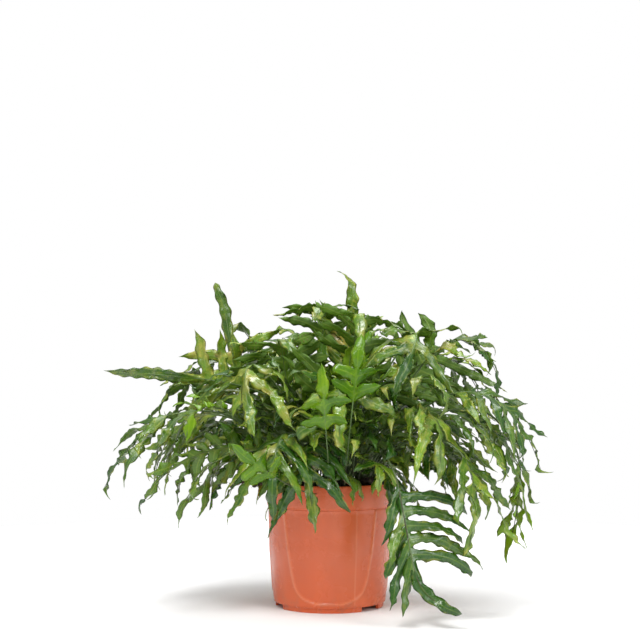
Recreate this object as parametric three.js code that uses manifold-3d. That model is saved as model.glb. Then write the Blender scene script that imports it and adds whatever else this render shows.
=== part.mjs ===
// A kangaroo paw fern (Microsorum diversifolium) growing in a round plastic nursery pot.
// Millimetres, +Z up. The pot stands on z = 0 and everything is laid out round its axis, then
// the whole plant is slid sideways so that the origin lies under the middle of its box.
// Creeping rhizomes lie on the soil, and each frond stands in a hole of its own in one of them.
import * as THREE from 'three';
import { mergeVertices } from 'three/addons/utils/BufferGeometryUtils.js';
import Module from 'manifold-3d';

const wasm = await Module();
wasm.setup();

const DEGREES = Math.PI / 180;
const UP = new THREE.Vector3(0, 0, 1);

// ---- Driving dimensions -------------------------------------------------------------------

const SEAT_GAP = 0.3; // clearance left between solids that rest on each other

const POT = {
  sides: 32,
  height: 166,
  wall: 1.8,
  collarFoot: 135, // height at which the slightly prouder collar begins
  rimRadius: 85.3,
  collarRadius: 85,
  outline: [ // outer radius and height of the tapering body, from the bottom up
    [75, 6.5], [76.3, 12], [79.1, 45], [82.3, 79], [84.2, 135],
  ],
  inside: [ // the same for the inner wall; the soil keeps clear of it
    [73.2, 9.5], [79.2, 79], [82.2, 140],
  ],
  floorTop: 9.5,
  footInner: 69.3,
  footOuter: 73,
  footHeight: 6.5,
  footGap: 27, // degrees of each of the three gaps in the foot ring
  footGapsAt: [48.5, 168.5, -71.5], // degrees from the front towards +X
  drainHoles: 6,
  drainRadius: 4.5,
  drainCircle: 44,
};

const SOIL = { top: 157, cornerDrop: 1.5 };

const RHIZOME = {
  sides: 7,
  radius: 5.2,
  tipRadius: 3.4,
  step: 14, // length between rings
  start: 19, // distance of the inner end from the pot's axis
  wander: 3.5, // sideways bend
  wanderFrom: 25, // length over which an arm starts to bend
  crotch: 12.5, // distance from the axis at which the two arms of a fork meet
  firstSlot: 22.5,
  slotPitch: 9.6,
  slotRise: 2, // the stipe stands upright to this height above its rhizome
  slotDepth: 6.6, // length of the upright foot
  slotClear: 0.5,
  // Height of the axis above the soil bed on an arm that climbs over the rim.
  climb: [[54, 0], [70, 8.5], [78, 10.6], [96, 10.8], [110, 9], [126, 4], [142, -4]],
};

// Each rhizome forks near the middle of the pot into two creeping arms: their azimuths in
// degrees from +X, and how far out they reach.
const FORKS = [
  [{ azimuth: 2, reach: 79 }, { azimuth: 44, reach: 78 }],
  [{ azimuth: 88, reach: 118 }, { azimuth: 134, reach: 78 }],
  [{ azimuth: 176, reach: 136 }, { azimuth: 214, reach: 120 }],
  [{ azimuth: 262, reach: 76 }, { azimuth: 312, reach: 108 }],
];

const LEAF = {
  ribThickness: 1.4,
  stipeThickness: 2.4,
  stipeHalfWidth: 1.5,
  // Places along a lobe that have a rib and two margins, and the share of its half width there.
  shapes: {
    strap: { at: [0.18, 0.5, 0.8], widths: [0.96, 1, 0.66] },
    short: { at: [0.24, 0.66], widths: [1, 0.86] },
  },
  sinusHalfWidth: 5, // green wing along the rib between two lobes
  pitch: 1.42, // distance between lobes on one side, in lobe widths
  stipeShare: 0.22, // least share of the frond that is bare stipe
};

const SPACE = {
  reach: 325, // half width of the box that the layout looks after
  top: 480,
  cell: 1.6,
  bladeGap: 5.7,
  stipeGap: 4.8,
  siblingGap: 4.2,
  sample: 3, // spacing of the points that stand for a surface
  floor: 4,
  potGap: 4.5,
  rootFree: 11, // length of stipe that may pass close to its own rhizome
};

const COLOURS = {
  pot: [0xc9623f, 0.42], soil: [0x2a2019, 0.95], rhizome: [0x3d2b1e, 0.9],
  frond: [0x2f6a1f, 0.38], young_frond: [0x55a01f, 0.36],
};

// ---- Fronds placed by hand ----------------------------------------------------------------
// over: the middle of the frond's line; tip: its end, both from the pot's axis on the ground.
// pairs: lobe pairs; lobe, width, end: lengths of a side lobe, its width and the end lobe.
// face: azimuth that the blade turns its back on, where it isn't the frond's own direction.
// droop: how far the lobes hang, spread: their angle to the rib, in degrees; left and right
// may have their own values.

const HAND_PLACED = [
  { over: [60, -90, 205],
    via: [[62, -100, 212], [80, -136, 190], [92, -158, 130], [103, -172, 72], [114, -180, 46],
      [140, -188, 27]],
    tip: [168, -190, 18], pairs: 6, lobe: 92, width: 14, pitch: 1.28, end: 92,
    left: { spread: 96, droop: 0.34, tilt: 10 },
    right: { lobe: 56, spread: 34, droop: 0.3, tilt: -10 } },
  { over: [-92, -30, 288], via: [[-60, -25, 262], [-100, -35, 290], [-150, -46, 303]],
    tip: [-300, -62, 317], pairs: 3, lobe: 70, width: 15, end: 128,
    face: 90, right: { spread: 78, droop: -0.05 }, left: { spread: 55, droop: 0.1 } },
  { over: [-120, 0, 285], via: [[-118, -5, 290], [-135, 0, 350], [-144, 0, 400]],
    tip: [-160, 0, 447], pairs: 3, lobe: 80, width: 14, end: 96,
    face: 90, spread: 78, droop: 0.26 },
  { over: [22, 18, 305], via: [[22, 16, 290], [25, 18, 350], [32, 18, 412], [27, 20, 446]],
    tip: [12, 22, 461], pairs: 3, lobe: 60, width: 14, end: 100, face: 90, spread: 50,
    droop: 0.08 },
  { over: [108, 12, 292], tip: [120, 2, 398], pairs: 4, lobe: 104, width: 15, end: 60,
    face: 90, right: { spread: 80, droop: 0.4 }, left: { spread: 50, droop: 0.2 } },
  { over: [150, -60, 282], tip: [282, -62, 172], pairs: 5, lobe: 66, width: 14, end: 90,
    droop: 0.42 },
  { over: [135, -92, 258], tip: [262, -108, 138], pairs: 5, lobe: 68, width: 13, end: 88,
    droop: 0.45 },
  { over: [-150, -70, 262], tip: [-300, -84, 148], pairs: 5, lobe: 70, width: 14, end: 92,
    droop: 0.36 },
  { over: [-136, -112, 218], tip: [-246, -122, 134], pairs: 5, lobe: 98, width: 14, end: 84,
    face: 90, left: { spread: 92, droop: 0.22 }, right: { lobe: 60, spread: 50, droop: 0.05 } },
  { over: [-106, -106, 234], tip: [-192, -142, 152], pairs: 4, lobe: 88, width: 14, end: 92,
    face: 90, left: { spread: 94, droop: 0.3 }, right: { lobe: 50, spread: 50, droop: 0.05 } },
  { over: [-26, -92, 222], tip: [-16, -138, 108], pairs: 4, lobe: 68, width: 14, end: 70,
    spread: 70, droop: 0.55 },
  { over: [-58, -84, 226], tip: [-66, -142, 122], pairs: 4, lobe: 64, width: 13, end: 72,
    spread: 62, droop: 0.6, shape: 'short' },
  { over: [6, -74, 285], tip: [10, -165, 205], pairs: 4, lobe: 86, width: 16, end: 84,
    spread: 58, droop: 0.02, tilt: 12 },
  { over: [110, -84, 278], tip: [142, -172, 170], pairs: 5, lobe: 90, width: 15, end: 84,
    spread: 60, droop: 0.55 },
  { over: [118, -108, 232], tip: [160, -150, 82], pairs: 2, lobe: 74, width: 14, end: 96,
    droop: 0.4 },
  { over: [-128, -106, 262], tip: [-182, -150, 222], pairs: 2, lobe: 42, width: 15, end: 50,
    young: true, spread: 62, droop: 0.02, tilt: 10 },
  { over: [22, -48, 292], tip: [34, -70, 352], pairs: 2, lobe: 44, width: 15, end: 52,
    young: true, face: 80, spread: 50, droop: 0.05 },
  { over: [130, -22, 330], tip: [232, -42, 282], pairs: 4, lobe: 74, width: 15, end: 82,
    droop: 0.36 },
  { over: [-66, -96, 250], tip: [-34, -140, 196], pairs: 0, width: 22, end: 92 },
  { over: [172, -56, 258], tip: [236, -66, 66], pairs: 3, lobe: 56, width: 14, end: 78,
    droop: 0.45, young: true },
  { over: [118, -72, 236], tip: [212, -96, 126], pairs: 5, lobe: 66, width: 14, end: 80,
    droop: 0.5 },
  { over: [-112, -84, 232], tip: [-178, -118, 138], pairs: 4, lobe: 72, width: 14, end: 80,
    droop: 0.45 },
  { over: [-62, 16, 352], tip: [-150, -6, 352], pairs: 4, lobe: 70, width: 15, end: 80,
    droop: 0.3 },
  { over: [-46, -14, 330], tip: [-52, -98, 322], pairs: 4, lobe: 74, width: 15, end: 74,
    droop: 0.3 },
  { over: [60, -60, 312], tip: [78, -150, 268], pairs: 4, lobe: 74, width: 15, end: 78,
    droop: 0.36 },
  { over: [-80, -70, 300], tip: [-112, -160, 214], pairs: 4, lobe: 84, width: 15, end: 84,
    droop: 0.45 },
  { over: [-34, -58, 252], tip: [-72, -138, 240], pairs: 4, lobe: 66, width: 15, end: 70,
    droop: 0.36, shape: 'short' },
  { over: [52, -62, 238], tip: [70, -150, 206], pairs: 3, lobe: 66, width: 15, end: 70,
    droop: 0.36, shape: 'short' },
  { over: [-92, -66, 238], tip: [-142, -126, 196], pairs: 4, lobe: 66, width: 15, end: 72,
    droop: 0.4, shape: 'short' },
  { over: [92, -48, 236], tip: [150, -112, 214], pairs: 4, lobe: 66, width: 15, end: 72,
    droop: 0.4, shape: 'short' },
  { over: [-8, 34, 334], tip: [-30, -52, 370], pairs: 4, lobe: 70, width: 15, end: 72,
    droop: 0.3, shape: 'short' },
  { over: [36, 34, 338], tip: [92, -20, 366], pairs: 4, lobe: 70, width: 15, end: 72,
    droop: 0.3, shape: 'short' },
  { over: [-30, 44, 338], tip: [-86, 80, 360], pairs: 4, lobe: 70, width: 15, end: 72,
    droop: 0.3, shape: 'short' },
  { over: [24, 60, 332], tip: [70, 128, 346], pairs: 4, lobe: 70, width: 15, end: 72,
    droop: 0.3, shape: 'short' },
];

// Fronds placed by rule, ring by ring: how many, where the middle and the tip of their line
// lie (distance from the axis and height), and their sizes. Their directions step round by the
// golden angle.
const GOLDEN_ANGLE = 137.508;
const RINGS = [
  { count: 7, from: 20, over: [150, 262], tip: [250, 146], pairs: 5, lobe: 78, width: 14,
    end: 84, droop: 0.42, shape: 'short' },
  { count: 7, from: 75, over: [112, 300], tip: [214, 228], pairs: 5, lobe: 80, width: 14,
    end: 84, droop: 0.4, shape: 'short' },
  { count: 3, from: 140, over: [72, 332], tip: [152, 310], pairs: 4, lobe: 72, width: 15,
    end: 78, droop: 0.34, shape: 'short' },
  { count: 15, from: 0, over: [84, 235], tip: [160, 190], pairs: 3, lobe: 60, width: 15,
    end: 72, droop: 0.25, shape: 'short' },
];
const MOST_FRONDS = 54;
// In front of the pot the fronds stay shorter, so that the pot shows.
const FRONT = { azimuth: 270, half: 38, tip: [168, 206], over: [98, 268], pairs: 3 };

const ATTEMPTS = 90;
const LOBE_TRIES = 40;
const GOOD_SHARE = 0.93; // a frond with this share of its lobes in place is kept at once

// ---- Seeded random numbers ----------------------------------------------------------------

function seededRandom(seed) {
  let state = seed >>> 0;
  return () => {
    state = (state + 0x6d2b79f5) >>> 0;
    let mixed = Math.imul(state ^ (state >>> 15), state | 1);
    mixed ^= mixed + Math.imul(mixed ^ (mixed >>> 7), mixed | 61);
    return ((mixed ^ (mixed >>> 14)) >>> 0) / 4294967296;
  };
}

const spreadAbout = (random, half) => (random() * 2 - 1) * half;

// ---- Solids and meshes --------------------------------------------------------------------

function toSolid(geometry) {
  const bare = geometry.clone();
  bare.deleteAttribute('normal');
  bare.deleteAttribute('uv');
  const merged = mergeVertices(bare, 1e-3);
  const index = merged.index.array;
  const kept = [];
  for (let i = 0; i < index.length; i += 3) {
    const [a, b, c] = [index[i], index[i + 1], index[i + 2]];
    if (a !== b && b !== c && c !== a) kept.push(a, b, c);
  }
  return new wasm.Manifold(new wasm.Mesh({
    numProp: 3,
    vertProperties: new Float32Array(merged.attributes.position.array),
    triVerts: new Uint32Array(kept),
  }));
}

function toGeometry(solid) {
  const mesh = solid.getMesh();
  const geometry = new THREE.BufferGeometry();
  geometry.setAttribute('position', new THREE.BufferAttribute(mesh.vertProperties, mesh.numProp));
  geometry.setIndex(new THREE.BufferAttribute(mesh.triVerts, 1));
  return geometry;
}

function geometryFrom(points, faces) {
  const geometry = new THREE.BufferGeometry();
  geometry.setAttribute('position', new THREE.Float32BufferAttribute(points, 3));
  geometry.setIndex(faces);
  return geometry;
}

// A turned body from [radius, height] points that run up its outside from the axis.
function turned(profile, sides) {
  const line = profile.map(([radius, height]) => new THREE.Vector2(radius, height));
  const geometry = new THREE.LatheGeometry(line, sides);
  geometry.rotateX(Math.PI / 2);
  return geometry;
}

function named(name, geometry, [colour, roughness]) {
  const material = new THREE.MeshStandardMaterial({ color: colour, roughness, metalness: 0 });
  geometry.computeVertexNormals();
  const mesh = new THREE.Mesh(geometry, material);
  mesh.name = name;
  return mesh;
}

// ---- Pot and soil -------------------------------------------------------------------------

function radiusAt(outline, height) {
  for (let i = 1; i < outline.length; i += 1) {
    const [lowRadius, low] = outline[i - 1];
    const [highRadius, high] = outline[i];
    if (height <= high) {
      return THREE.MathUtils.mapLinear(Math.max(height, low), low, high, lowRadius, highRadius);
    }
  }
  return outline[outline.length - 1][0];
}

function potInside() {
  return [...POT.inside, [POT.rimRadius - POT.wall - 0.9, POT.height]];
}

function makePot() {
  const profile = [
    [0, POT.footHeight + 0.5],
    [POT.footInner - 0.3, POT.footHeight + 0.5],
    [POT.footInner, 0],
    [POT.footOuter, 0],
    [POT.footOuter + 0.4, POT.footHeight],
    ...POT.outline,
    [POT.collarRadius, POT.collarFoot + 1],
    [POT.rimRadius, POT.height - 3],
    [POT.rimRadius - 1, POT.height],
    ...potInside().reverse(),
    [0, POT.floorTop],
  ];
  let solid = toSolid(turned(profile, POT.sides));
  for (const cutter of [...footGapCutters(), ...drainCutters()]) {
    solid = solid.subtract(toSolid(cutter));
  }
  return named('pot', toGeometry(solid), COLOURS.pot);
}

// Wedges that part the foot ring, seen from below as slots in a dark ring.
function footGapCutters() {
  return POT.footGapsAt.map((middle) => {
    const wedge = new THREE.Shape();
    const half = (POT.footGap / 2) * DEGREES;
    const turn = (middle - 90) * DEGREES;
    wedge.absarc(0, 0, POT.footOuter + 1.2, turn - half, turn + half, false);
    wedge.absarc(0, 0, POT.footInner - 1.5, turn + half, turn - half, true);
    wedge.closePath();
    const depth = POT.footHeight + 1.6;
    const geometry = new THREE.ExtrudeGeometry(wedge, {
      depth, bevelEnabled: false, curveSegments: 3,
    });
    return geometry.translate(0, 0, POT.footHeight - 0.2 - depth);
  });
}

function drainCutters() {
  const cutters = [];
  for (let i = 0; i < POT.drainHoles; i += 1) {
    const turn = (i / POT.drainHoles) * 2 * Math.PI;
    const hole = new THREE.CylinderGeometry(POT.drainRadius, POT.drainRadius, POT.floorTop * 2, 8);
    hole.rotateX(Math.PI / 2);
    hole.translate(POT.drainCircle * Math.cos(turn), POT.drainCircle * Math.sin(turn), POT.floorTop);
    cutters.push(hole);
  }
  return cutters;
}

function makeSoil() {
  const inside = potInside();
  const shoulder = SOIL.top - SOIL.cornerDrop;
  const clear = SEAT_GAP + 0.1;
  const edge = radiusAt(inside, shoulder) - clear;
  const wall = POT.inside.map(([radius, height]) => [radius - clear, height + SEAT_GAP]);
  const profile = [
    [0, POT.floorTop + SEAT_GAP], ...wall,
    [edge, shoulder], [edge - SOIL.cornerDrop, SOIL.top], [0, SOIL.top],
  ];
  return named('soil', toGeometry(toSolid(turned(profile, POT.sides))), COLOURS.soil);
}

// ---- Rhizomes -----------------------------------------------------------------------------

function climbAt(distance) {
  const climb = RHIZOME.climb;
  if (distance <= climb[0][0]) return climb[0][1];
  for (let i = 1; i < climb.length; i += 1) {
    const [from, low] = climb[i - 1];
    const [to, high] = climb[i];
    if (distance <= to) return THREE.MathUtils.mapLinear(distance, from, to, low, high);
  }
  return climb[climb.length - 1][1];
}

// The line of one creeping arm: its place at a distance from the pot's axis.
class Arm {
  constructor({ azimuth, reach }) {
    this.turn = azimuth * DEGREES;
    this.reach = reach;
    this.overRim = reach > POT.rimRadius;
    this.out = new THREE.Vector3(Math.cos(this.turn), Math.sin(this.turn), 0);
    this.side = new THREE.Vector3(-this.out.y, this.out.x, 0);
  }

  radiusAt(distance) {
    const share = (distance - RHIZOME.start) / (this.reach - RHIZOME.start);
    const knob = 1 + 0.09 * Math.sin(distance * 0.55 + this.turn);
    return THREE.MathUtils.lerp(RHIZOME.radius, RHIZOME.tipRadius, share ** 3) * knob;
  }

  placeAt(distance) {
    const along = distance - RHIZOME.start;
    const growing = Math.min(1, along / RHIZOME.wanderFrom);
    const bend = RHIZOME.wander * Math.sin(along * 0.06 + 5 * this.turn) * growing;
    const lift = this.overRim ? climbAt(distance) : 0;
    return this.out.clone().multiplyScalar(distance)
      .addScaledVector(this.side, bend)
      .setZ(SOIL.top + SEAT_GAP + this.radiusAt(distance) + lift);
  }

  rings() {
    const count = Math.round((this.reach - RHIZOME.start) / RHIZOME.step);
    return Array.from({ length: count + 1 }, (_, i) => {
      const distance = THREE.MathUtils.lerp(RHIZOME.start, this.reach, i / count);
      return { distance, place: this.placeAt(distance), radius: this.radiusAt(distance) };
    });
  }

  // The axis as the faceted solid has it, straight between two rings.
  axisAt(distance) {
    const rings = this.rings();
    const next = rings.findIndex((ring) => ring.distance >= distance);
    const [before, after] = [rings[next - 1], rings[next]];
    const share = (distance - before.distance) / (after.distance - before.distance);
    return before.place.clone().lerp(after.place, share);
  }
}

// A rhizome: one tube from the end of its first arm, through the crotch, out along the second.
class Fork {
  constructor(pair) {
    this.arms = pair.map((arm) => new Arm(arm));
    const [first, second] = this.arms;
    const radius = RHIZOME.radius;
    const crotch = first.out.clone().add(second.out).setLength(RHIZOME.crotch)
      .setZ(SOIL.top + SEAT_GAP + radius);
    this.rings = [...first.rings().reverse(), { place: crotch, radius }, ...second.rings()];
  }

  // Places where a frond may stand, out along both arms.
  findSlots() {
    return this.arms.flatMap((arm) => {
      const count = Math.floor((arm.reach - 4 - RHIZOME.firstSlot) / RHIZOME.slotPitch) + 1;
      return Array.from({ length: count }, (_, i) => {
        const distance = RHIZOME.firstSlot + i * RHIZOME.slotPitch;
        const top = arm.radiusAt(distance) + RHIZOME.slotRise;
        const place = arm.axisAt(distance).addScaledVector(UP, top);
        return { fork: this, place, taken: false };
      });
    });
  }

  // Points along the axis, close enough together to stand for the tube.
  axisPoints() {
    const points = [];
    for (let i = 1; i < this.rings.length; i += 1) {
      const [from, to] = [this.rings[i - 1].place, this.rings[i].place];
      for (let share = 0; share < 1; share += 0.125) points.push(from.clone().lerp(to, share));
    }
    return points;
  }

  corners(index) {
    const { sides } = RHIZOME;
    const { place, radius } = this.rings[index];
    const before = this.rings[Math.max(index - 1, 0)].place;
    const after = this.rings[Math.min(index + 1, this.rings.length - 1)].place;
    const side = UP.clone().cross(after.clone().sub(before)).normalize();
    return Array.from({ length: sides }, (_, k) => {
      const angle = (k / sides) * 2 * Math.PI - Math.PI / 2;
      return place.clone()
        .addScaledVector(side, Math.cos(angle) * radius)
        .addScaledVector(UP, Math.sin(angle) * radius);
    });
  }

  solid() {
    const { sides } = RHIZOME;
    const points = this.rings.flatMap((_, i) => this.corners(i).flatMap((p) => [p.x, p.y, p.z]));
    const faces = [];
    const last = (this.rings.length - 1) * sides;
    for (let from = 0; from < last; from += sides) {
      for (let k = 0; k < sides; k += 1) {
        const [a, b] = [from + k, from + ((k + 1) % sides)];
        faces.push(a, b, b + sides, a, b + sides, a + sides);
      }
    }
    for (let k = 1; k < sides - 1; k += 1) {
      faces.push(0, k + 1, k, last, last + k, last + k + 1);
    }
    return toSolid(geometryFrom(points, faces));
  }
}

// A four-cornered pocket that takes the foot of a stipe.
function pocketCutter(frond) {
  const { slotClear, slotDepth } = RHIZOME;
  const foot = frond.line.foot;
  const across = LEAF.stipeHalfWidth + slotClear;
  const through = LEAF.stipeThickness / 2 + slotClear;
  const bottom = -SEAT_GAP - 0.1;
  const corners = [[across, 0], [0, through], [-across, 0], [0, -through]];
  const points = [];
  for (const height of [bottom, slotDepth * 3]) {
    for (const [side, normal] of corners) {
      const corner = foot.place.clone()
        .addScaledVector(foot.side, side)
        .addScaledVector(foot.normal, normal)
        .addScaledVector(UP, height);
      points.push(corner.x, corner.y, corner.z);
    }
  }
  const faces = [0, 1, 2, 0, 2, 3, 4, 6, 5, 4, 7, 6];
  for (let k = 0; k < 4; k += 1) {
    const next = (k + 1) % 4;
    faces.push(k, next + 4, next, k, k + 4, next + 4);
  }
  return toSolid(geometryFrom(points, faces));
}

function makeRhizome(fork, name, fronds) {
  let solid = fork.solid();
  for (const frond of fronds) {
    solid = solid.subtract(pocketCutter(frond));
  }
  return named(name, toGeometry(solid), COLOURS.rhizome);
}

// ---- The space that the foliage shares ----------------------------------------------------

// Cells near what already grows are taken, so that a new leaf can be bent clear of them.
class Thicket {
  constructor() {
    this.across = Math.ceil((2 * SPACE.reach) / SPACE.cell);
    this.up = Math.ceil(SPACE.top / SPACE.cell);
    this.taken = new Uint8Array(this.across * this.across * this.up);
    this.siblings = new Uint16Array(this.taken.length);
    this.stamp = 0;
    this.balls = new Map();
  }

  cellOf({ x, y, z }) {
    const i = Math.floor((x + SPACE.reach) / SPACE.cell);
    const j = Math.floor((y + SPACE.reach) / SPACE.cell);
    const k = Math.floor(z / SPACE.cell);
    const outside = i < 0 || j < 0 || k < 0 || i >= this.across || j >= this.across || k >= this.up;
    return outside ? -1 : (k * this.across + j) * this.across + i;
  }

  ballOf(radius) {
    if (!this.balls.has(radius)) {
      const reach = Math.ceil(radius / SPACE.cell);
      const offsets = [];
      for (let k = -reach; k <= reach; k += 1) {
        for (let j = -reach; j <= reach; j += 1) {
          for (let i = -reach; i <= reach; i += 1) {
            if (Math.hypot(i, j, k) * SPACE.cell <= radius) {
              offsets.push((k * this.across + j) * this.across + i);
            }
          }
        }
      }
      this.balls.set(radius, offsets);
    }
    return this.balls.get(radius);
  }

  fill(grid, point, radius, value) {
    const cell = this.cellOf(point);
    for (const offset of this.ballOf(radius)) grid[cell + offset] = value;
  }

  occupy(point, radius) { this.fill(this.taken, point, radius, 1); }

  startFrond() { this.stamp += 1; }

  joinSiblings(point) { this.fill(this.siblings, point, SPACE.siblingGap, this.stamp); }

  meetsSibling(point) { return this.siblings[this.cellOf(point)] === this.stamp; }

  free(point) {
    const cell = this.cellOf(point);
    if (cell < 0 || point.z < SPACE.floor || this.taken[cell]) return false;
    return !touchesPot(point);
  }
}

function touchesPot({ x, y, z }) {
  if (z > POT.height + SPACE.potGap) return false;
  const distance = Math.hypot(x, y);
  const outside = Math.max(radiusAt(POT.outline, z), z > POT.collarFoot - 5 ? POT.rimRadius : 0);
  if (distance > outside + SPACE.potGap) return false;
  const inner = POT.rimRadius - POT.wall - SPACE.potGap;
  return z < SOIL.top + SPACE.potGap || distance > inner;
}

// ---- The line of a frond ------------------------------------------------------------------

// The rib's course from the rhizome to the tip, with the direction of its blade all along.
class Line {
  constructor(root, spec) {
    this.root = root;
    const tip = new THREE.Vector3(...spec.tip);
    this.curve = spec.via ? this.windingCurve(spec, tip) : this.archedCurve(spec, tip);
    this.curve.arcLengthDivisions = 60;
    this.length = this.curve.getLength();
    this.steps = 48;
    this.frames = this.carryFrames(this.startSide(spec, tip));
    this.foot = {
      place: root.clone().setZ(root.z - RHIZOME.slotDepth),
      side: this.frames[0].side,
      normal: this.frames[0].normal,
    };
  }

  // One arch that starts upright and has spec.over at its middle.
  archedCurve(spec, tip) {
    const over = new THREE.Vector3(...spec.over);
    const rise = this.root.distanceTo(over) * 0.5;
    const first = this.root.clone().addScaledVector(UP, rise);
    const second = over.multiplyScalar(8).sub(this.root).addScaledVector(first, -3)
      .sub(tip)
      .divideScalar(3);
    return new THREE.CubicBezierCurve3(this.root, first, second, tip);
  }

  // A line that winds through the places in spec.via.
  windingCurve(spec, tip) {
    const upright = this.root.clone().addScaledVector(UP, 12);
    const via = spec.via.map((place) => new THREE.Vector3(...place));
    return new THREE.CatmullRomCurve3([this.root, upright, ...via, tip], false, 'centripetal');
  }

  startSide(spec, tip) {
    const ahead = spec.face === undefined
      ? tip.clone().sub(this.root).setZ(0).normalize()
      : new THREE.Vector3(Math.cos(spec.face * DEGREES), Math.sin(spec.face * DEGREES), 0);
    return ahead.cross(UP).normalize();
  }

  carryFrames(firstSide) {
    const frames = [];
    const side = firstSide.clone();
    for (let i = 0; i <= this.steps; i += 1) {
      const tangent = this.curve.getTangentAt(i / this.steps);
      side.addScaledVector(tangent, -side.dot(tangent)).normalize();
      const normal = side.clone().cross(tangent);
      frames.push({ place: this.curve.getPointAt(i / this.steps), tangent, side: side.clone(), normal });
    }
    return frames;
  }

  at(distance) {
    const position = THREE.MathUtils.clamp((distance / this.length) * this.steps, 0, this.steps);
    const index = Math.min(Math.floor(position), this.steps - 1);
    const share = position - index;
    const [before, after] = [this.frames[index], this.frames[index + 1]];
    const mix = (key) => before[key].clone().lerp(after[key], share);
    const tangent = mix('tangent').normalize();
    const side = mix('side').normalize();
    return { place: mix('place'), tangent, side, normal: side.clone().cross(tangent) };
  }
}

// ---- Lobes --------------------------------------------------------------------------------

// Stations along a lobe: the rib, and the margins near to and far from the frond's foot.
function lobeStations(base, course, form, hand) {
  return form.shape.at.map((share, i) => {
    const { place, ahead } = course(share);
    const across = ahead.clone().cross(base.normal).normalize();
    const normal = across.clone().cross(ahead).normalize();
    const twist = form.twist * share;
    across.applyAxisAngle(ahead, twist);
    normal.applyAxisAngle(ahead, twist);
    const half = (form.width / 2) * form.shape.widths[i];
    const wave = form.wave * (i % 2 ? -1 : 1);
    const margin = (way) => place.clone()
      .addScaledVector(across, way * hand * half * (1 - way * form.crimp * Math.sign(wave)))
      .addScaledVector(normal, way * wave);
    return { place, normal, near: margin(1), far: margin(-1) };
  });
}

// A side lobe leaves the rib at an angle, and bends over under its weight and to the tip.
function sideLobe(base, form, hand) {
  const start = base.tangent.clone().multiplyScalar(Math.cos(form.spread))
    .addScaledVector(base.side, hand * Math.sin(form.spread))
    .multiplyScalar(Math.cos(form.tilt))
    .addScaledVector(base.normal, Math.sin(form.tilt));
  const bend = base.tangent.clone().multiplyScalar(form.sweep).addScaledVector(UP, -form.droop);
  const course = (share) => ({
    place: base.place.clone().addScaledVector(start, form.length * share)
      .addScaledVector(bend, form.length * share * share),
    ahead: start.clone().addScaledVector(bend, 2 * share).normalize(),
  });
  return { stations: lobeStations(base, course, form, hand), tip: course(1).place };
}

// The end lobe carries on along the frond's own line.
function endLobe(line, from, form) {
  const stations = form.shape.at.map((share, i) => {
    const { place, side, normal, tangent } = line.at(from + (line.length - from) * share);
    const twist = form.twist * share;
    const across = side.clone().applyAxisAngle(tangent, twist);
    const top = normal.clone().applyAxisAngle(tangent, twist);
    const half = (form.width / 2) * form.shape.widths[i];
    const wave = form.wave * (i % 2 ? -1 : 1);
    const margin = (way) => place.clone()
      .addScaledVector(across, way * half * (1 - way * form.crimp * Math.sign(wave)))
      .addScaledVector(top, way * wave);
    return { place, normal: top, right: margin(1), left: margin(-1) };
  });
  return { stations, tip: line.at(line.length).place };
}

// Calls visit with points over the strip between two lines of equal length, and stops early
// where it returns false.
function walkStrip(inner, outer, visit) {
  for (let i = 1; i < inner.length; i += 1) {
    const length = Math.max(inner[i].distanceTo(inner[i - 1]), outer[i].distanceTo(outer[i - 1]));
    const rows = Math.ceil(length / SPACE.sample);
    for (let row = 0; row <= rows; row += 1) {
      const from = inner[i - 1].clone().lerp(inner[i], row / rows);
      const to = outer[i - 1].clone().lerp(outer[i], row / rows);
      const columns = Math.max(1, Math.ceil(from.distanceTo(to) / SPACE.sample));
      for (let column = 0; column <= columns; column += 1) {
        const share = (i - 1 + row / rows) / (inner.length - 1);
        if (!visit(from.clone().lerp(to, column / columns), share)) return false;
      }
    }
  }
  return true;
}

// ---- Fronds -------------------------------------------------------------------------------

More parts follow.
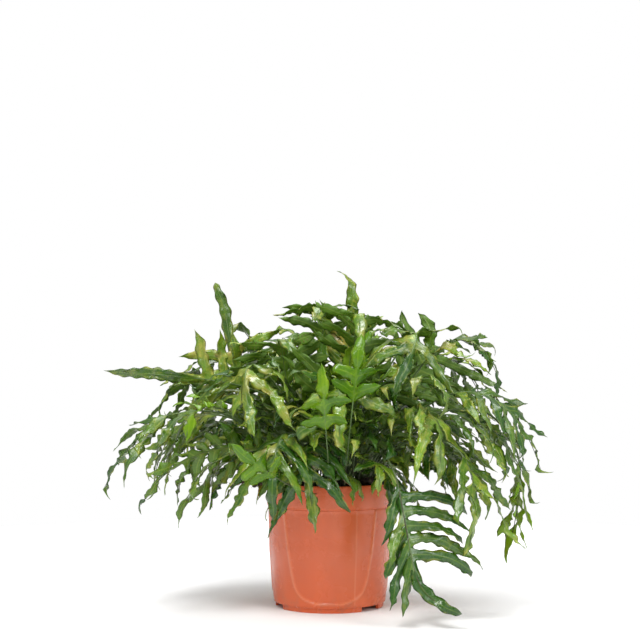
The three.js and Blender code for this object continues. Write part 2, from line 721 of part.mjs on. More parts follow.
class Frond {
  constructor(spec, slot, random) {
    this.spec = spec;
    this.slot = slot;
    this.random = random;
    this.line = new Line(slot.place, spec);
    this.lobes = [];
    this.layOut();
  }

  // Where the bare stipe ends, and where each lobe and each notch between lobes sits.
  layOut() {
    const { spec, line } = this;
    const half = (spec.width * (spec.pitch ?? LEAF.pitch)) / 2;
    const room = line.length * (1 - LEAF.stipeShare) - spec.end;
    this.pairs = Math.max(0, Math.min(spec.pairs, Math.floor(room / (2 * half))));
    this.endFrom = Math.max(line.length - spec.end, line.length * LEAF.stipeShare);
    const bladeFrom = this.endFrom - this.pairs * 2 * half;
    this.ribAt = Array.from({ length: 2 * this.pairs + 1 }, (_, i) => bladeFrom + i * half);
    this.rib = this.ribAt.map((distance) => line.at(distance));
    this.stipe = [0, 0.36, 0.7].map((share) => line.at(bladeFrom * share));
    this.alternate = spec.pairs > 2 && this.random() < 0.6;
    this.notches = { right: this.notchLine(1), left: this.notchLine(-1) };
  }

  isLobe(index, hand) {
    const shifted = this.alternate && hand < 0 ? index - 1 : index;
    return shifted % 2 === 1 && index < this.rib.length - 1;
  }

  // Margin places along the rib; a lobe's own station has none.
  notchLine(hand) {
    const last = this.rib.length - 1;
    return this.rib.map((frame, i) => {
      if (this.isLobe(i, hand)) return null;
      const grown = this.pairs ? Math.min(1, 0.45 + i / 3) : 0.5;
      const ends = i === last && !this.pairs ? 0.5 : grown;
      return frame.place.clone()
        .addScaledVector(frame.side, hand * LEAF.sinusHalfWidth * ends);
    });
  }

  lobeForm(index, hand, boldness) {
    const { spec, random } = this;
    const own = (hand > 0 ? spec.right : spec.left) ?? {};
    const pick = (key, usual) => own[key] ?? spec[key] ?? usual;
    const along = index / (this.rib.length - 1);
    const profile = 0.78 + 0.34 * Math.sin(Math.PI * (0.12 + 0.72 * along));
    return {
      length: pick('lobe') * Math.min(1, profile) * (1 + spreadAbout(random, 0.1)),
      width: spec.width * (1 + spreadAbout(random, 0.1)),
      spread: (pick('spread', 60) + spreadAbout(random, 6 + 14 * boldness)) * DEGREES,
      tilt: (pick('tilt', 0) + spreadAbout(random, 6 + 30 * boldness)) * DEGREES,
      droop: pick('droop', 0.25) + spreadAbout(random, 0.08 + 0.25 * boldness),
      sweep: 0.12 + spreadAbout(random, 0.12),
      twist: spreadAbout(random, 38) * DEGREES,
      wave: (1.6 + 1.4 * random()) * (random() < 0.5 ? -1 : 1),
      crimp: 0.12 + 0.1 * random(),
      shape: LEAF.shapes[spec.shape ?? 'strap'],
    };
  }

  endForm() {
    const { spec, random } = this;
    return {
      width: spec.width * (spec.pairs ? 1.06 : 1),
      twist: spreadAbout(random, 40) * DEGREES,
      wave: (1.8 + 1.2 * random()) * (random() < 0.5 ? -1 : 1),
      crimp: 0.12 + 0.1 * random(),
      shape: LEAF.shapes.strap,
    };
  }

  // Finds room for the line, then for lobe after lobe, and gives the share that fitted.
  grow(thicket) {
    thicket.startFrond();
    this.end = endLobe(this.line, this.endFrom, this.endForm());
    const isFree = (point) => thicket.free(point);
    const clear = this.walkStipe((point, fromRoot) => fromRoot < SPACE.rootFree || isFree(point))
      && this.walkWing(isFree) && this.walkEnd(isFree);
    if (!clear) return 0;
    this.walkEnd((point, share) => {
      if (share > 0.3) thicket.joinSiblings(point);
      return true;
    });
    let fitted = 0;
    let wanted = 0;
    for (let index = 1; index < this.rib.length - 1; index += 1) {
      for (const hand of [1, -1]) {
        if (!this.isLobe(index, hand)) continue;
        wanted += 1;
        fitted += this.addLobe(thicket, index, hand);
      }
    }
    return wanted ? 0.25 + (0.75 * fitted) / wanted : 1;
  }

  addLobe(thicket, index, hand) {
    const base = this.rib[index];
    for (let attempt = 0; attempt < LOBE_TRIES; attempt += 1) {
      const boldness = attempt / LOBE_TRIES;
      const form = this.lobeForm(index, hand, boldness);
      const share = attempt < LOBE_TRIES * 0.5 ? 1 : 1.35 - 0.85 * boldness;
      form.length *= Math.min(1, share);
      const lobe = { index, hand, ...sideLobe(base, form, hand) };
      if (this.walkLobe(lobe, (point, along) => (
        thicket.free(point) && !(along > 0.3 && thicket.meetsSibling(point))
      ))) {
        this.walkLobe(lobe, (point, along) => {
          if (along > 0.3) thicket.joinSiblings(point);
          return true;
        });
        this.lobes.push(lobe);
        return Math.min(1, share);
      }
    }
    return 0;
  }

  walkLobe(lobe, visit) {
    const { index, hand, stations, tip } = lobe;
    const notches = hand > 0 ? this.notches.right : this.notches.left;
    const rib = [this.rib[index].place, ...stations.map((s) => s.place), tip];
    const near = [notches[index - 1], ...stations.map((s) => s.near), tip];
    const far = [notches[index + 1], ...stations.map((s) => s.far), tip];
    return walkStrip(rib, near, visit) && walkStrip(rib, far, visit);
  }

  walkEnd(visit) {
    const { stations, tip } = this.end;
    const rib = [this.rib.at(-1).place, ...stations.map((s) => s.place), tip];
    const right = [this.notches.right.at(-1), ...stations.map((s) => s.right), tip];
    const left = [this.notches.left.at(-1), ...stations.map((s) => s.left), tip];
    return walkStrip(rib, right, visit) && walkStrip(rib, left, visit);
  }

  // The stipe as a row of points, with their distance from the rhizome.
  walkStipe(visit) {
    let from = 0;
    const frames = [...this.stipe, this.rib[0]];
    for (let i = 1; i < frames.length; i += 1) {
      const [start, finish] = [frames[i - 1].place, frames[i].place];
      const length = start.distanceTo(finish);
      const steps = Math.ceil(length / SPACE.sample);
      for (let step = 0; step < steps; step += 1) {
        const share = step / steps;
        if (!visit(start.clone().lerp(finish, share), from + length * share)) return false;
      }
      from += length;
    }
    return true;
  }

  // The green wing along the rib.
  walkWing(visit) {
    const rib = this.rib.map((frame) => frame.place);
    const wing = (hand) => this.rib.map((frame) => (
      frame.place.clone().addScaledVector(frame.side, hand * LEAF.sinusHalfWidth)
    ));
    return walkStrip(rib, wing(1), visit) && walkStrip(rib, wing(-1), visit);
  }

  // Once the frond stays, its surface keeps later ones away.
  settle(thicket) {
    this.walkStipe((point) => {
      thicket.occupy(point, SPACE.stipeGap);
      return true;
    });
    const keep = (point) => {
      thicket.occupy(point, SPACE.bladeGap);
      return true;
    };
    this.walkWing(keep);
    this.walkEnd(keep);
    this.lobes.forEach((lobe) => this.walkLobe(lobe, keep));
    this.slot.taken = true;
  }
}

// ---- The leaf surface ---------------------------------------------------------------------

// A place on a rib has an upper and a lower vertex, and a place on a margin has one, so that
// the blade thins to its edge. Both faces are split into the same triangles.
class LeafMesh {
  constructor() {
    this.points = [];
    this.faces = [];
  }

  vertex(point) {
    this.points.push(point.x, point.y, point.z);
    return this.points.length / 3 - 1;
  }

  onRib({ place, normal }, thickness) {
    return {
      upper: this.vertex(place.clone().addScaledVector(normal, thickness / 2)),
      lower: this.vertex(place.clone().addScaledVector(normal, -thickness / 2)),
    };
  }

  onMargin(point) {
    const only = this.vertex(point);
    return { upper: only, lower: only };
  }

  // One triangle of the blade on both faces; turn is the side of the rib that it lies on.
  patch(a, b, c, turn) {
    const [second, third] = turn > 0 ? [b, c] : [c, b];
    this.faces.push(a.upper, second.upper, third.upper);
    this.faces.push(a.lower, third.lower, second.lower);
  }

  strip(rib, margin, turn) {
    for (let i = 1; i < rib.length; i += 1) {
      this.patch(rib[i - 1], margin[i - 1], rib[i], turn);
      if (margin[i] !== rib[i]) this.patch(margin[i - 1], margin[i], rib[i], turn);
    }
  }

  closeFoot(rib, right, left) {
    this.faces.push(left.upper, right.upper, rib.upper, left.upper, rib.lower, right.upper);
  }
}

function stipeMargins(frame) {
  const margin = (hand) => frame.place.clone()
    .addScaledVector(frame.side, hand * LEAF.stipeHalfWidth);
  return { right: margin(1), left: margin(-1) };
}

function frondGeometry(frond) {
  const mesh = new LeafMesh();
  const { line, rib, lobes, notches, end } = frond;
  const stipeFrames = [line.foot, ...frond.stipe];
  const stipeRib = stipeFrames.map((frame) => mesh.onRib(frame, LEAF.stipeThickness));
  const bladeRib = rib.map((frame) => mesh.onRib(frame, LEAF.ribThickness));
  const tip = mesh.onMargin(end.tip);
  const endRib = end.stations.map((station) => mesh.onRib(station, LEAF.ribThickness));
  const feet = {};
  for (const [key, hand] of [['right', 1], ['left', -1]]) {
    const stipeSide = stipeFrames.map((frame) => mesh.onMargin(stipeMargins(frame)[key]));
    const notch = notches[key].map((point) => point && mesh.onMargin(point));
    feet[key] = stipeSide[0];
    mesh.strip([...stipeRib, bladeRib[0]], [...stipeSide, notch[0]], hand);
    for (let i = 1; i < rib.length; i += 1) {
      if (notch[i] && notch[i - 1]) {
        mesh.strip([bladeRib[i - 1], bladeRib[i]], [notch[i - 1], notch[i]], hand);
      } else if (!notch[i]) {
        mesh.patch(bladeRib[i - 1], notch[i - 1], bladeRib[i], hand);
      } else {
        mesh.patch(bladeRib[i - 1], notch[i], bladeRib[i], hand);
      }
    }
    for (let i = 1; i < rib.length - 1; i += 1) {
      if (notch[i]) continue;
      const lobe = lobes.find((one) => one.index === i && one.hand === hand);
      if (lobe) addLobeFaces(mesh, lobe, bladeRib[i], notch[i - 1], notch[i + 1]);
      else mesh.patch(bladeRib[i], notch[i - 1], notch[i + 1], hand);
    }
    const endMargin = end.stations.map((station) => mesh.onMargin(station[key]));
    mesh.strip([bladeRib.at(-1), ...endRib, tip], [notch.at(-1), ...endMargin, tip], hand);
  }
  mesh.closeFoot(stipeRib[0], feet.right, feet.left);
  return geometryFrom(mesh.points, mesh.faces);
}

function addLobeFaces(mesh, lobe, base, nearNotch, farNotch) {
  const ribs = lobe.stations.map((station) => mesh.onRib(station, LEAF.ribThickness));
  const tip = mesh.onMargin(lobe.tip);
  const near = lobe.stations.map((station) => mesh.onMargin(station.near));
  const far = lobe.stations.map((station) => mesh.onMargin(station.far));
  mesh.strip([base, ...ribs, tip], [nearNotch, ...near, tip], lobe.hand);
  mesh.strip([base, ...ribs, tip], [farNotch, ...far, tip], -lobe.hand);
}

// ---- Growing the plant --------------------------------------------------------------------

// Fronds of one ring step round by the golden angle; those in front are shorter.
function ringSpecs() {
  return RINGS.flatMap((ring) => Array.from({ length: ring.count }, (_, i) => {
    const azimuth = ring.from + i * GOLDEN_ANGLE;
    const off = Math.abs(((azimuth - FRONT.azimuth + 540) % 360) - 180);
    const inFront = off < FRONT.half && ring.tip[1] < FRONT.tip[1];
    return inFront ? { ...ring, ...FRONT, azimuth } : { ...ring, azimuth };
  }));
}

function placedSpec(ring, random, boldness) {
  const turn = (ring.azimuth + spreadAbout(random, 8 + 50 * boldness)) * DEGREES;
  const stretch = 1 + spreadAbout(random, 0.08 + 0.1 * boldness);
  const aside = spreadAbout(random, 14) * DEGREES;
  const polar = ([distance, height], angle) => [
    distance * stretch * Math.cos(angle),
    distance * stretch * Math.sin(angle),
    height + spreadAbout(random, 14 + 26 * boldness),
  ];
  return { ...ring, over: polar(ring.over, turn), tip: polar(ring.tip, turn + aside) };
}

function shifted(spec, random, boldness) {
  const move = (point, most) => point.map((value) => value + spreadAbout(random, most));
  return {
    ...spec,
    over: move(spec.over, 34 * boldness),
    tip: move(spec.tip, 22 * boldness),
    via: spec.via?.map((place) => move(place, 10 * boldness)),
  };
}

// The free slot that lies nearest below the frond's bend.
function nearestSlot(slots, over, skip) {
  const want = new THREE.Vector3(over[0] * 0.42, over[1] * 0.42, 0);
  const limit = POT.rimRadius * 0.86;
  if (want.length() > limit) want.setLength(limit);
  const free = slots.filter((slot) => !slot.taken);
  const distance = (slot) => Math.hypot(slot.place.x - want.x, slot.place.y - want.y);
  free.sort((a, b) => distance(a) - distance(b));
  return free[Math.min(skip, free.length - 1)];
}

function growFronds(slots, thicket) {
  const random = seededRandom(49);
  const fronds = [];
  const wanted = [
    ...HAND_PLACED.map((spec) => ({ spec, vary: shifted })),
    ...ringSpecs().map((spec) => ({ spec, vary: placedSpec })),
  ];
  for (const { spec, vary } of wanted) {
    if (fronds.length === MOST_FRONDS) break;
    let best = null;
    let bestShare = 0.3;
    for (let attempt = 0; attempt < ATTEMPTS && bestShare < GOOD_SHARE; attempt += 1) {
      const varied = vary(spec, random, attempt / ATTEMPTS);
      const slot = nearestSlot(slots, varied.over, attempt % 4);
      const frond = new Frond(varied, slot, random);
      const share = frond.grow(thicket);
      if (share > bestShare) {
        best = frond;
        bestShare = share;
      }
    }
    if (best) {
      best.settle(thicket);
      fronds.push(best);
    }
  }
  return fronds;
}

function buildPlant() {
  const forks = FORKS.map((pair) => new Fork(pair));
  const slots = forks.flatMap((fork) => fork.findSlots());
  const thicket = new Thicket();
  for (const point of forks.flatMap((fork) => fork.axisPoints())) {
    thicket.occupy(point, RHIZOME.radius + SPACE.stipeGap);
  }
  const fronds = growFronds(slots, thicket);
  const group = new THREE.Group();
  group.add(makePot(), makeSoil());
  forks.forEach((fork, i) => {
    const rooted = fronds.filter((frond) => frond.slot.fork === fork);
    group.add(makeRhizome(fork, `rhizome_${i + 1}`, rooted));
  });
  fronds.forEach((frond, i) => {
    const kind = frond.spec.young ? 'young_frond' : 'frond';
    const name = `${kind}_${String(i + 1).padStart(2, '0')}`;
    group.add(named(name, frondGeometry(frond), COLOURS[kind]));
  });
  return group;
}

const plant = buildPlant();
const middle = new THREE.Box3().setFromObject(plant).getCenter(new THREE.Vector3());
plant.position.set(-middle.x, -middle.y, 0);

export default plant;
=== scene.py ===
"""Kangaroo paw fern in its nursery pot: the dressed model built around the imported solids."""

import logging
import math
from dataclasses import dataclass
from enum import Enum

import bmesh
import bpy
import numpy as np
from mathutils import Euler, Matrix, Vector, noise
from mathutils.kdtree import KDTree


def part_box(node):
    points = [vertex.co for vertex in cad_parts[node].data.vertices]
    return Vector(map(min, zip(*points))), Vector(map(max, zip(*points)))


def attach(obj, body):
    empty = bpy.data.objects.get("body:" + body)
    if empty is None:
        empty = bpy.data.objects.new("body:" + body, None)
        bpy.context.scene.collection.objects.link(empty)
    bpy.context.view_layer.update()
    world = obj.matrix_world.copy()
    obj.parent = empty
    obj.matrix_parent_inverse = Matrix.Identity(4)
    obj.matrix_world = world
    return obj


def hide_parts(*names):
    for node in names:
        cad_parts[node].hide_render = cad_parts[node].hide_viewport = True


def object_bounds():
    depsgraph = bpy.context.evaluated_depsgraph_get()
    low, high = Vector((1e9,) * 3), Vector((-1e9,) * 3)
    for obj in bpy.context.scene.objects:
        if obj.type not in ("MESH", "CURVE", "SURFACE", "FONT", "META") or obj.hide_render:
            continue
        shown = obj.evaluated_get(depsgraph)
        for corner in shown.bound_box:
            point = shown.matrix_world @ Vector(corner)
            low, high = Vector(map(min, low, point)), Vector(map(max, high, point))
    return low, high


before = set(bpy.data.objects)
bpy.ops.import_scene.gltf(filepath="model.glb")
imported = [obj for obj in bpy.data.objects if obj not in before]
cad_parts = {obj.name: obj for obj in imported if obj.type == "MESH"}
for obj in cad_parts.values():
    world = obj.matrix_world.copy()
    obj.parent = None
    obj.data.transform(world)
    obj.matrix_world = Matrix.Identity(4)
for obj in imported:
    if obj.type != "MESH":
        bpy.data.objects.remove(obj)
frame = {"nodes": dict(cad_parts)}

log = logging.getLogger("fern")

MM = 0.001
CM = 0.01
CAD_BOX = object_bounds()
WELD = 1e-5
NOISE_ROUGHNESS = 0.55
LEAST_RIB = 1e-6
TINY = 1e-12
Colour = tuple[float, float, float]
Point = np.ndarray
Socket = bpy.types.NodeSocket


class Slot(Enum):
    """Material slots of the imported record."""

    POT = "pot"
    SOIL = "soil"
    RHIZOME = "rhizome"
    LEAF = "leaf"
    YOUNG = "young_leaf"


class Hand(Enum):
    """Side of the rachis that a lobe grows on, looking towards the frond's tip."""

    RIGHT = 0
    LEFT = 1


# ---- Small helpers --------------------------------------------------------------------------


def unit(rows: Point) -> Point:
    """Vectors of one or more rows scaled to length one."""
    return rows / np.maximum(np.linalg.norm(rows, axis=-1, keepdims=True), TINY)


def smooth(value: Point | float, low: float, high: float) -> Point | float:
    """Smooth step from 0 at low to 1 at high."""
    t = np.clip((value - low) / (high - low), 0.0, 1.0)
    return t * t * (3 - 2 * t)


def spline(knots: Point, values: Point, start: Point, end: Point, at: Point) -> Point:
    """Cubic Hermite curves through rows of points.

    Args:
        knots: Rising parameters, one for each row of values.
        values: Array of knots x columns x 3.
        start: Tangents of the columns at the first knot.
        end: Tangents of the columns at the last knot.
        at: Parameters at which the curves are read.

    Returns:
        Array of len(at) x columns x 3.
    """
    step = np.diff(knots)
    chord = np.diff(values, axis=0) / step[:, None, None]
    inner = (chord[:-1] * step[1:, None, None] + chord[1:] * step[:-1, None, None])
    inner /= (step[1:] + step[:-1])[:, None, None]
    slopes = np.concatenate([start[None], inner, end[None]])
    k = np.clip(np.searchsorted(knots, at, side="right") - 1, 0, len(step) - 1)
    t = ((at - knots[k]) / step[k])[:, None, None]
    h = step[k][:, None, None]
    return (
        (1 + 2 * t) * (1 - t) ** 2 * values[k]
        + t * (1 - t) ** 2 * h * slopes[k]
        + t**2 * (3 - 2 * t) * values[k + 1]
        + t**2 * (t - 1) * h * slopes[k + 1]
    )


def new_object(name: str, mesh: bpy.types.Mesh) -> bpy.types.Object:
    """Links a mesh to the scene as an object at the origin."""
    piece = bpy.data.objects.new(name, mesh)
    bpy.context.scene.collection.objects.link(piece)
    return piece


def mesh_points(piece: bpy.types.Object) -> Point:
    """Places of a piece's vertices."""
    places = np.zeros(3 * len(piece.data.vertices))
    piece.data.vertices.foreach_get("co", places)
    return places.reshape(-1, 3)


def store(mesh: bpy.types.Mesh, name: str, values: object, domain: str = "POINT") -> None:
    """Gives a mesh one number for each point or face."""
    numbers = np.array(values, np.float32)
    mesh.attributes.new(name, "FLOAT", domain).data.foreach_set("value", numbers)


def shade_smooth(mesh: bpy.types.Mesh, angle: float | None = None) -> None:
    """Smooth shading, with edges sharper than angle (radians) kept crisp."""
    mesh.shade_smooth()
    if angle is not None:
        mesh.set_sharp_from_angle(angle=angle)


def turned_faces(rows: int, count: int) -> list[tuple[int, ...]]:
    """Faces of a closed turned skin: rings of points, then one point in the middle of each end.

    Args:
        rows: Number of rings.
        count: Points in a ring.

    Returns:
        Faces that point outwards where the rings run up the outside.
    """
    faces = []
    for first in range(0, (rows - 1) * count, count):
        for k in range(count):
            n = (k + 1) % count
            faces.append((first + k, first + n, first + count + n, first + count + k))
    last, start = (rows - 1) * count, rows * count
    for k in range(count):
        n = (k + 1) % count
        faces += [(start, n, k), (start + 1, last + k, last + n)]
    return faces


def welded(node: bpy.types.Object) -> bmesh.types.BMesh:
    """A copy of a node's mesh with its loose triangles joined."""
    shape = bmesh.new()
    shape.from_mesh(node.data)
    bmesh.ops.remove_doubles(shape, verts=shape.verts, dist=WELD)
    return shape


def axis_of(node: str) -> Vector:
    """Point on the ground under the middle of a node."""
    low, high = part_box(node)
    return Vector(((low.x + high.x) / 2, (low.y + high.y) / 2, 0))


def declare(piece: bpy.types.Object, nodes: list[str]) -> None:
    """Ties a finished piece to the frame and reports it.

    Args:
        piece: The finished piece.
        nodes: Nodes of the frame that it replaces, if any.
    """
    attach(piece, "root")
    if nodes:
        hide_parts(*nodes)
    log.info("%s: %d faces", piece.name, len(piece.data.polygons))


# ---- Node trees -----------------------------------------------------------------------------


class NodeTree:
    """A tree whose nodes are added call by call."""

    PREFIX = "ShaderNode"

    def __init__(self, tree: bpy.types.NodeTree) -> None:
        """Takes the tree that the nodes go into."""
        self.tree = tree

    def add(self, kind: str, inputs: dict | None = None, **options: object) -> bpy.types.Node:
        """Adds a node.

        Args:
            kind: Node type name, whole or without the tree's usual prefix.
            inputs: Socket name or number to a value or to another node's output.
            options: Settings of the node itself.

        Returns:
            The new node.
        """
        node = self.tree.nodes.new(kind if "Node" in kind else self.PREFIX + kind)
        for key, value in options.items():
            setattr(node, key, value)
        for key, value in (inputs or {}).items():
            self.put(node.inputs[key], value)
        return node

    def put(self, socket: Socket, value: object) -> None:
        """Links or sets one input.

        Args:
            socket: The input.
            value: Another node's output, or a value, with three numbers for a colour.
        """
        if isinstance(value, bpy.types.NodeSocket):
            self.tree.links.new(value, socket)
        elif isinstance(value, tuple) and socket.type == "RGBA":
            socket.default_value = (*value, 1.0)
        else:
            socket.default_value = value


class ShaderTree(NodeTree):
    """A material with one Principled shader."""

    def __init__(self, name: str, roughness: float = 0.5) -> None:
        """Makes the material.

        Args:
            name: Name of the material.
            roughness: The shader's roughness where no node sets it.
        """
        self.material = bpy.data.materials.new(name)
        self.material.use_nodes = True
        super().__init__(self.material.node_tree)
        self.shader = self.tree.nodes["Principled BSDF"]
        self.shader.inputs["Roughness"].default_value = roughness

    def maths(self, operation: str, first: object, second: object = 0.0) -> Socket:
        """Output of a Math node."""
        return self.add("Math", {0: first, 1: second}, operation=operation).outputs[0]

    def times(self, first: object, second: object) -> Socket:
        """Product of two numbers."""
        return self.maths("MULTIPLY", first, second)

    def add_up(self, first: object, second: object) -> Socket:
        """Sum of two numbers."""
        return self.maths("ADD", first, second)

    def band(self, value: object, low: float, high: float, out: tuple = (0.0, 1.0)) -> Socket:
        """Value carried smoothly from between low and high to between the two numbers of out."""
        limits = {"From Min": low, "From Max": high, "To Min": out[0], "To Max": out[1]}
        node = self.add("MapRange", {"Value": value, **limits}, interpolation_type="SMOOTHSTEP")
        return node.outputs["Result"]

    def mix(self, share: object, first: object, second: object) -> Socket:
        """Colour between two colours."""
        return self.add("Mix", {"Factor": share, 6: first, 7: second}, data_type="RGBA").outputs[2]

    def noise(self, scale: float, detail: float = 3.0, where: Socket | None = None) -> Socket:
        """Noise from 0 to 1.

        Args:
            scale: Lumps in a metre, or in one unit of the coordinates given.
            detail: Octaves of finer noise.
            where: Coordinates, or None for the piece's own.

        Returns:
            The noise.
        """
        node = self.add("TexNoise", {"Scale": scale, "Detail": detail, "Roughness": NOISE_ROUGHNESS})
        self.put(node.inputs["Vector"], where or self.place())
        return node.outputs["Fac"]

    def place(self) -> Socket:
        """Object coordinates."""
        return self.add("TexCoord").outputs["Object"]

    def height(self) -> Socket:
        """Height over the ground in metres."""
        return self.add("SeparateXYZ", {0: self.place()}).outputs[2]

    def stretched(self, where: Socket, factors: tuple[float, float, float]) -> Socket:
        """Coordinates multiplied axis by axis."""
        return self.add("Mapping", {0: where, 3: factors}).outputs[0]

    def attribute(self, name: str) -> Socket:
        """Number that the mesh carries under this name."""
        return self.add("Attribute", attribute_name=name).outputs["Fac"]

    def bump(self, height: object, distance: float) -> Socket:
        """Normal bent by a height pattern."""
        return self.add("Bump", {"Height": height, "Distance": distance}).outputs["Normal"]

    def finish(self, **sockets: object) -> bpy.types.Material:
        """Sets the shader's sockets, named with _ for a space, and returns the material."""
        for name, value in sockets.items():
            self.put(self.shader.inputs[name.replace("_", " ")], value)
        return self.material


# ---- Finishes -------------------------------------------------------------------------------


@dataclass(frozen=True)
class LeafFinish:
    """Leathery glossy fern blade with veins, mottling and spore dots.

    Scales count lumps in a metre, and pitches are for one unit of the lobe's own coordinates.
    """

    name: str
    deep: Colour
    light: Colour
    margin: Colour
    dry: Colour
    under: Colour
    vein: Colour
    spore: Colour = (0.14, 0.09, 0.02)
    spores: float = 1.0
    patches: float = 1.0
    roughness: float = 0.27
    specular: float = 0.5
    coat: float = 0.1
    coat_roughness: float = 0.14
    mottle_scale: float = 34.0
    margin_scale: float = 44.0
    fleck_scale: float = 100.0
    patch_scale: float = 24.0
    gloss_scale: float = 60.0
    pucker_scale: float = 90.0
    grain_scale: float = 420.0
    vein_pitch: float = 17.0
    vein_slant: float = 0.42
    spore_pitch: float = 1.9
    spore_row: float = 0.46
    relief: float = 0.5 * MM

    def material(self) -> bpy.types.Material:
        """Builds the blade's material from the mesh's own lobe coordinates.

        Returns:
            The material.
        """
        tree = ShaderTree(self.name, self.roughness)
        chart = tree.add("UVMap", uv_map="lobe").outputs[0]
        uv = tree.add("SeparateXYZ", {0: chart})
        along, across = uv.outputs[0], tree.maths("ABSOLUTE", uv.outputs[1])
        tone, below = tree.attribute("tone"), tree.attribute("below")
        mottle = tree.times(tree.noise(self.mottle_scale, 4.0), 0.7)
        shade = tree.band(tree.add_up(mottle, tree.times(tone, 0.55)), 0.3, 0.95)
        lines = self._veins(tree, along, across)
        dots = self._spore_dots(tree, along, across, tone)
        upper = self._faded(tree, tree.mix(shade, self.deep, self.light), chart, across, tone)
        upper = tree.mix(tree.times(lines, 0.28), upper, self.vein)
        lower = tree.mix(shade, self.under, tuple(1.25 * c for c in self.under))
        lower = tree.mix(tree.times(lines, 0.6), lower, self.vein)
        lower = tree.mix(tree.times(dots, 0.55), lower, self.spore)
        fine = tree.times(tree.noise(self.grain_scale), 0.16)
        relief = tree.add_up(tree.times(lines, 0.35), fine)
        relief = tree.add_up(relief, tree.times(tree.noise(self.pucker_scale, 2.0), 1.4))
        relief = tree.add_up(relief, tree.times(tree.times(dots, below), 0.9))
        gloss = tree.band(tree.noise(self.gloss_scale, 2.0), 0.3, 0.7, (-0.06, 0.12))
        gloss = tree.add_up(tree.add_up(gloss, self.roughness), tree.times(below, 0.12))
        return tree.finish(
            Base_Color=tree.mix(below, upper, lower),
            Roughness=gloss,
            Specular_IOR_Level=self.specular,
            Coat_Weight=self.coat,
            Coat_Roughness=self.coat_roughness,
            Normal=tree.bump(relief, self.relief),
        )

    def _faded(
        self, tree: ShaderTree, colour: Socket, chart: Socket, across: Socket, tone: Socket
    ) -> Socket:
        """Fades a blade at the margin, in streaks along the lobe, in flecks and in broad patches.

        Args:
            tree: The material.
            colour: Colour of the fresh blade.
            chart: The lobe's coordinates.
            across: Distance from the midrib, 1 at the margin.
            tone: Age of the lobe from 0 to 1.

        Returns:
            Colour of the upper side without its veins.
        """
        edge = tree.band(tree.noise(self.margin_scale), 0.46, 0.66)
        edge = tree.times(tree.band(across, 0.5, 1.05), edge)
        colour = tree.mix(tree.times(edge, 0.75), colour, self.margin)
        # Each lobe reads the streaks at a depth of its own, so that no two look alike.
        depth = tree.add("CombineXYZ", {2: tree.times(tone, 40.0)}).outputs[0]
        moved = tree.add("VectorMath", {0: chart, 1: depth}, operation="ADD").outputs[0]
        streaks = tree.band(tree.noise(1.0, 2.0, tree.stretched(moved, (0.7, 3.2, 1.0))), 0.5, 0.7)
        streaks = tree.times(streaks, tree.band(tone, 0.0, 0.6))
        colour = tree.mix(tree.times(streaks, 0.55 * self.patches), colour, self.margin)
        fleck = tree.times(tree.band(tree.noise(self.fleck_scale), 0.55, 0.68), tree.band(tone, 0.0, 0.5))
        colour = tree.mix(tree.times(fleck, 0.5 * self.patches), colour, self.margin)
        patch = tree.times(tree.band(tree.noise(self.patch_scale), 0.48, 0.68), tree.band(tone, 0.1, 0.7))
        patch = tree.times(patch, tree.band(tree.height(), 0.2, 0.36, (0.7, 1.25)))
        return tree.mix(tree.times(patch, 0.75 * self.patches), colour, self.dry)

    def _veins(self, tree: ShaderTree, along: Socket, across: Socket) -> Socket:
        """Side veins that run forward and end near the margin, and the midrib.

        Args:
            tree: The material.
            along: Distance from the lobe's base.
            across: Distance from the midrib, 1 at the margin.

        Returns:
            How much of each place is a vein.
        """
        slant = tree.maths("SUBTRACT", along, tree.times(across, self.vein_slant))
        waver = tree.times(tree.noise(160.0, 2.0), 0.12)
        veins = tree.maths("SINE", tree.times(tree.add_up(slant, waver), self.vein_pitch))
        veins = tree.times(tree.band(veins, 0.72, 1.0), tree.band(across, 0.95, 0.6))
        return tree.maths("MAXIMUM", tree.times(veins, 0.3), tree.band(across, 0.14, 0.05))

    def _spore_dots(self, tree: ShaderTree, along: Socket, across: Socket, tone: Socket) -> Socket:
        """Spore dots in a row on each side of the midrib, for the underside of old lobes.

        Args:
            tree: The material.
            along: Distance from the lobe's base.
            across: Distance from the midrib, 1 at the margin.
            tone: Age of the lobe from 0 to 1.

        Returns:
            How much of each place is a spore dot.
        """
        step = tree.maths("SUBTRACT", tree.maths("FRACT", tree.times(along, self.spore_pitch)), 0.5)
        aside = tree.times(tree.maths("SUBTRACT", across, self.spore_row), 1.35)
        reach = tree.maths("SQRT", tree.add_up(tree.times(step, step), tree.times(aside, aside)))
        dots = tree.times(tree.band(reach, 0.27, 0.17), tree.band(tone, 0.5, 0.7))
        return tree.times(dots, self.spores)


@dataclass(frozen=True)
class StalkFinish:
    """Smooth stalks and midribs, darker towards the foot."""

    name: str
    foot: Colour
    top: Colour
    roughness: float = 0.42
    streak_scale: float = 70.0
    grain_scale: float = 500.0
    relief: float = 0.3 * MM

    def material(self) -> bpy.types.Material:
        """Builds the stalk's material.

        Returns:
            The material.
        """
        tree = ShaderTree(self.name, self.roughness)
        streaks = tree.noise(self.streak_scale, 4.0)
        colour = tree.mix(tree.band(tree.height(), 0.15, 0.24), self.foot, self.top)
        pale = tuple(1.8 * c for c in self.top)
        return tree.finish(
            Base_Color=tree.mix(tree.band(streaks, 0.35, 0.75, (0.0, 0.5)), colour, pale),
            Roughness=tree.band(streaks, 0.3, 0.7, (0.34, 0.5)),
            Normal=tree.bump(tree.noise(self.grain_scale), self.relief),
        )


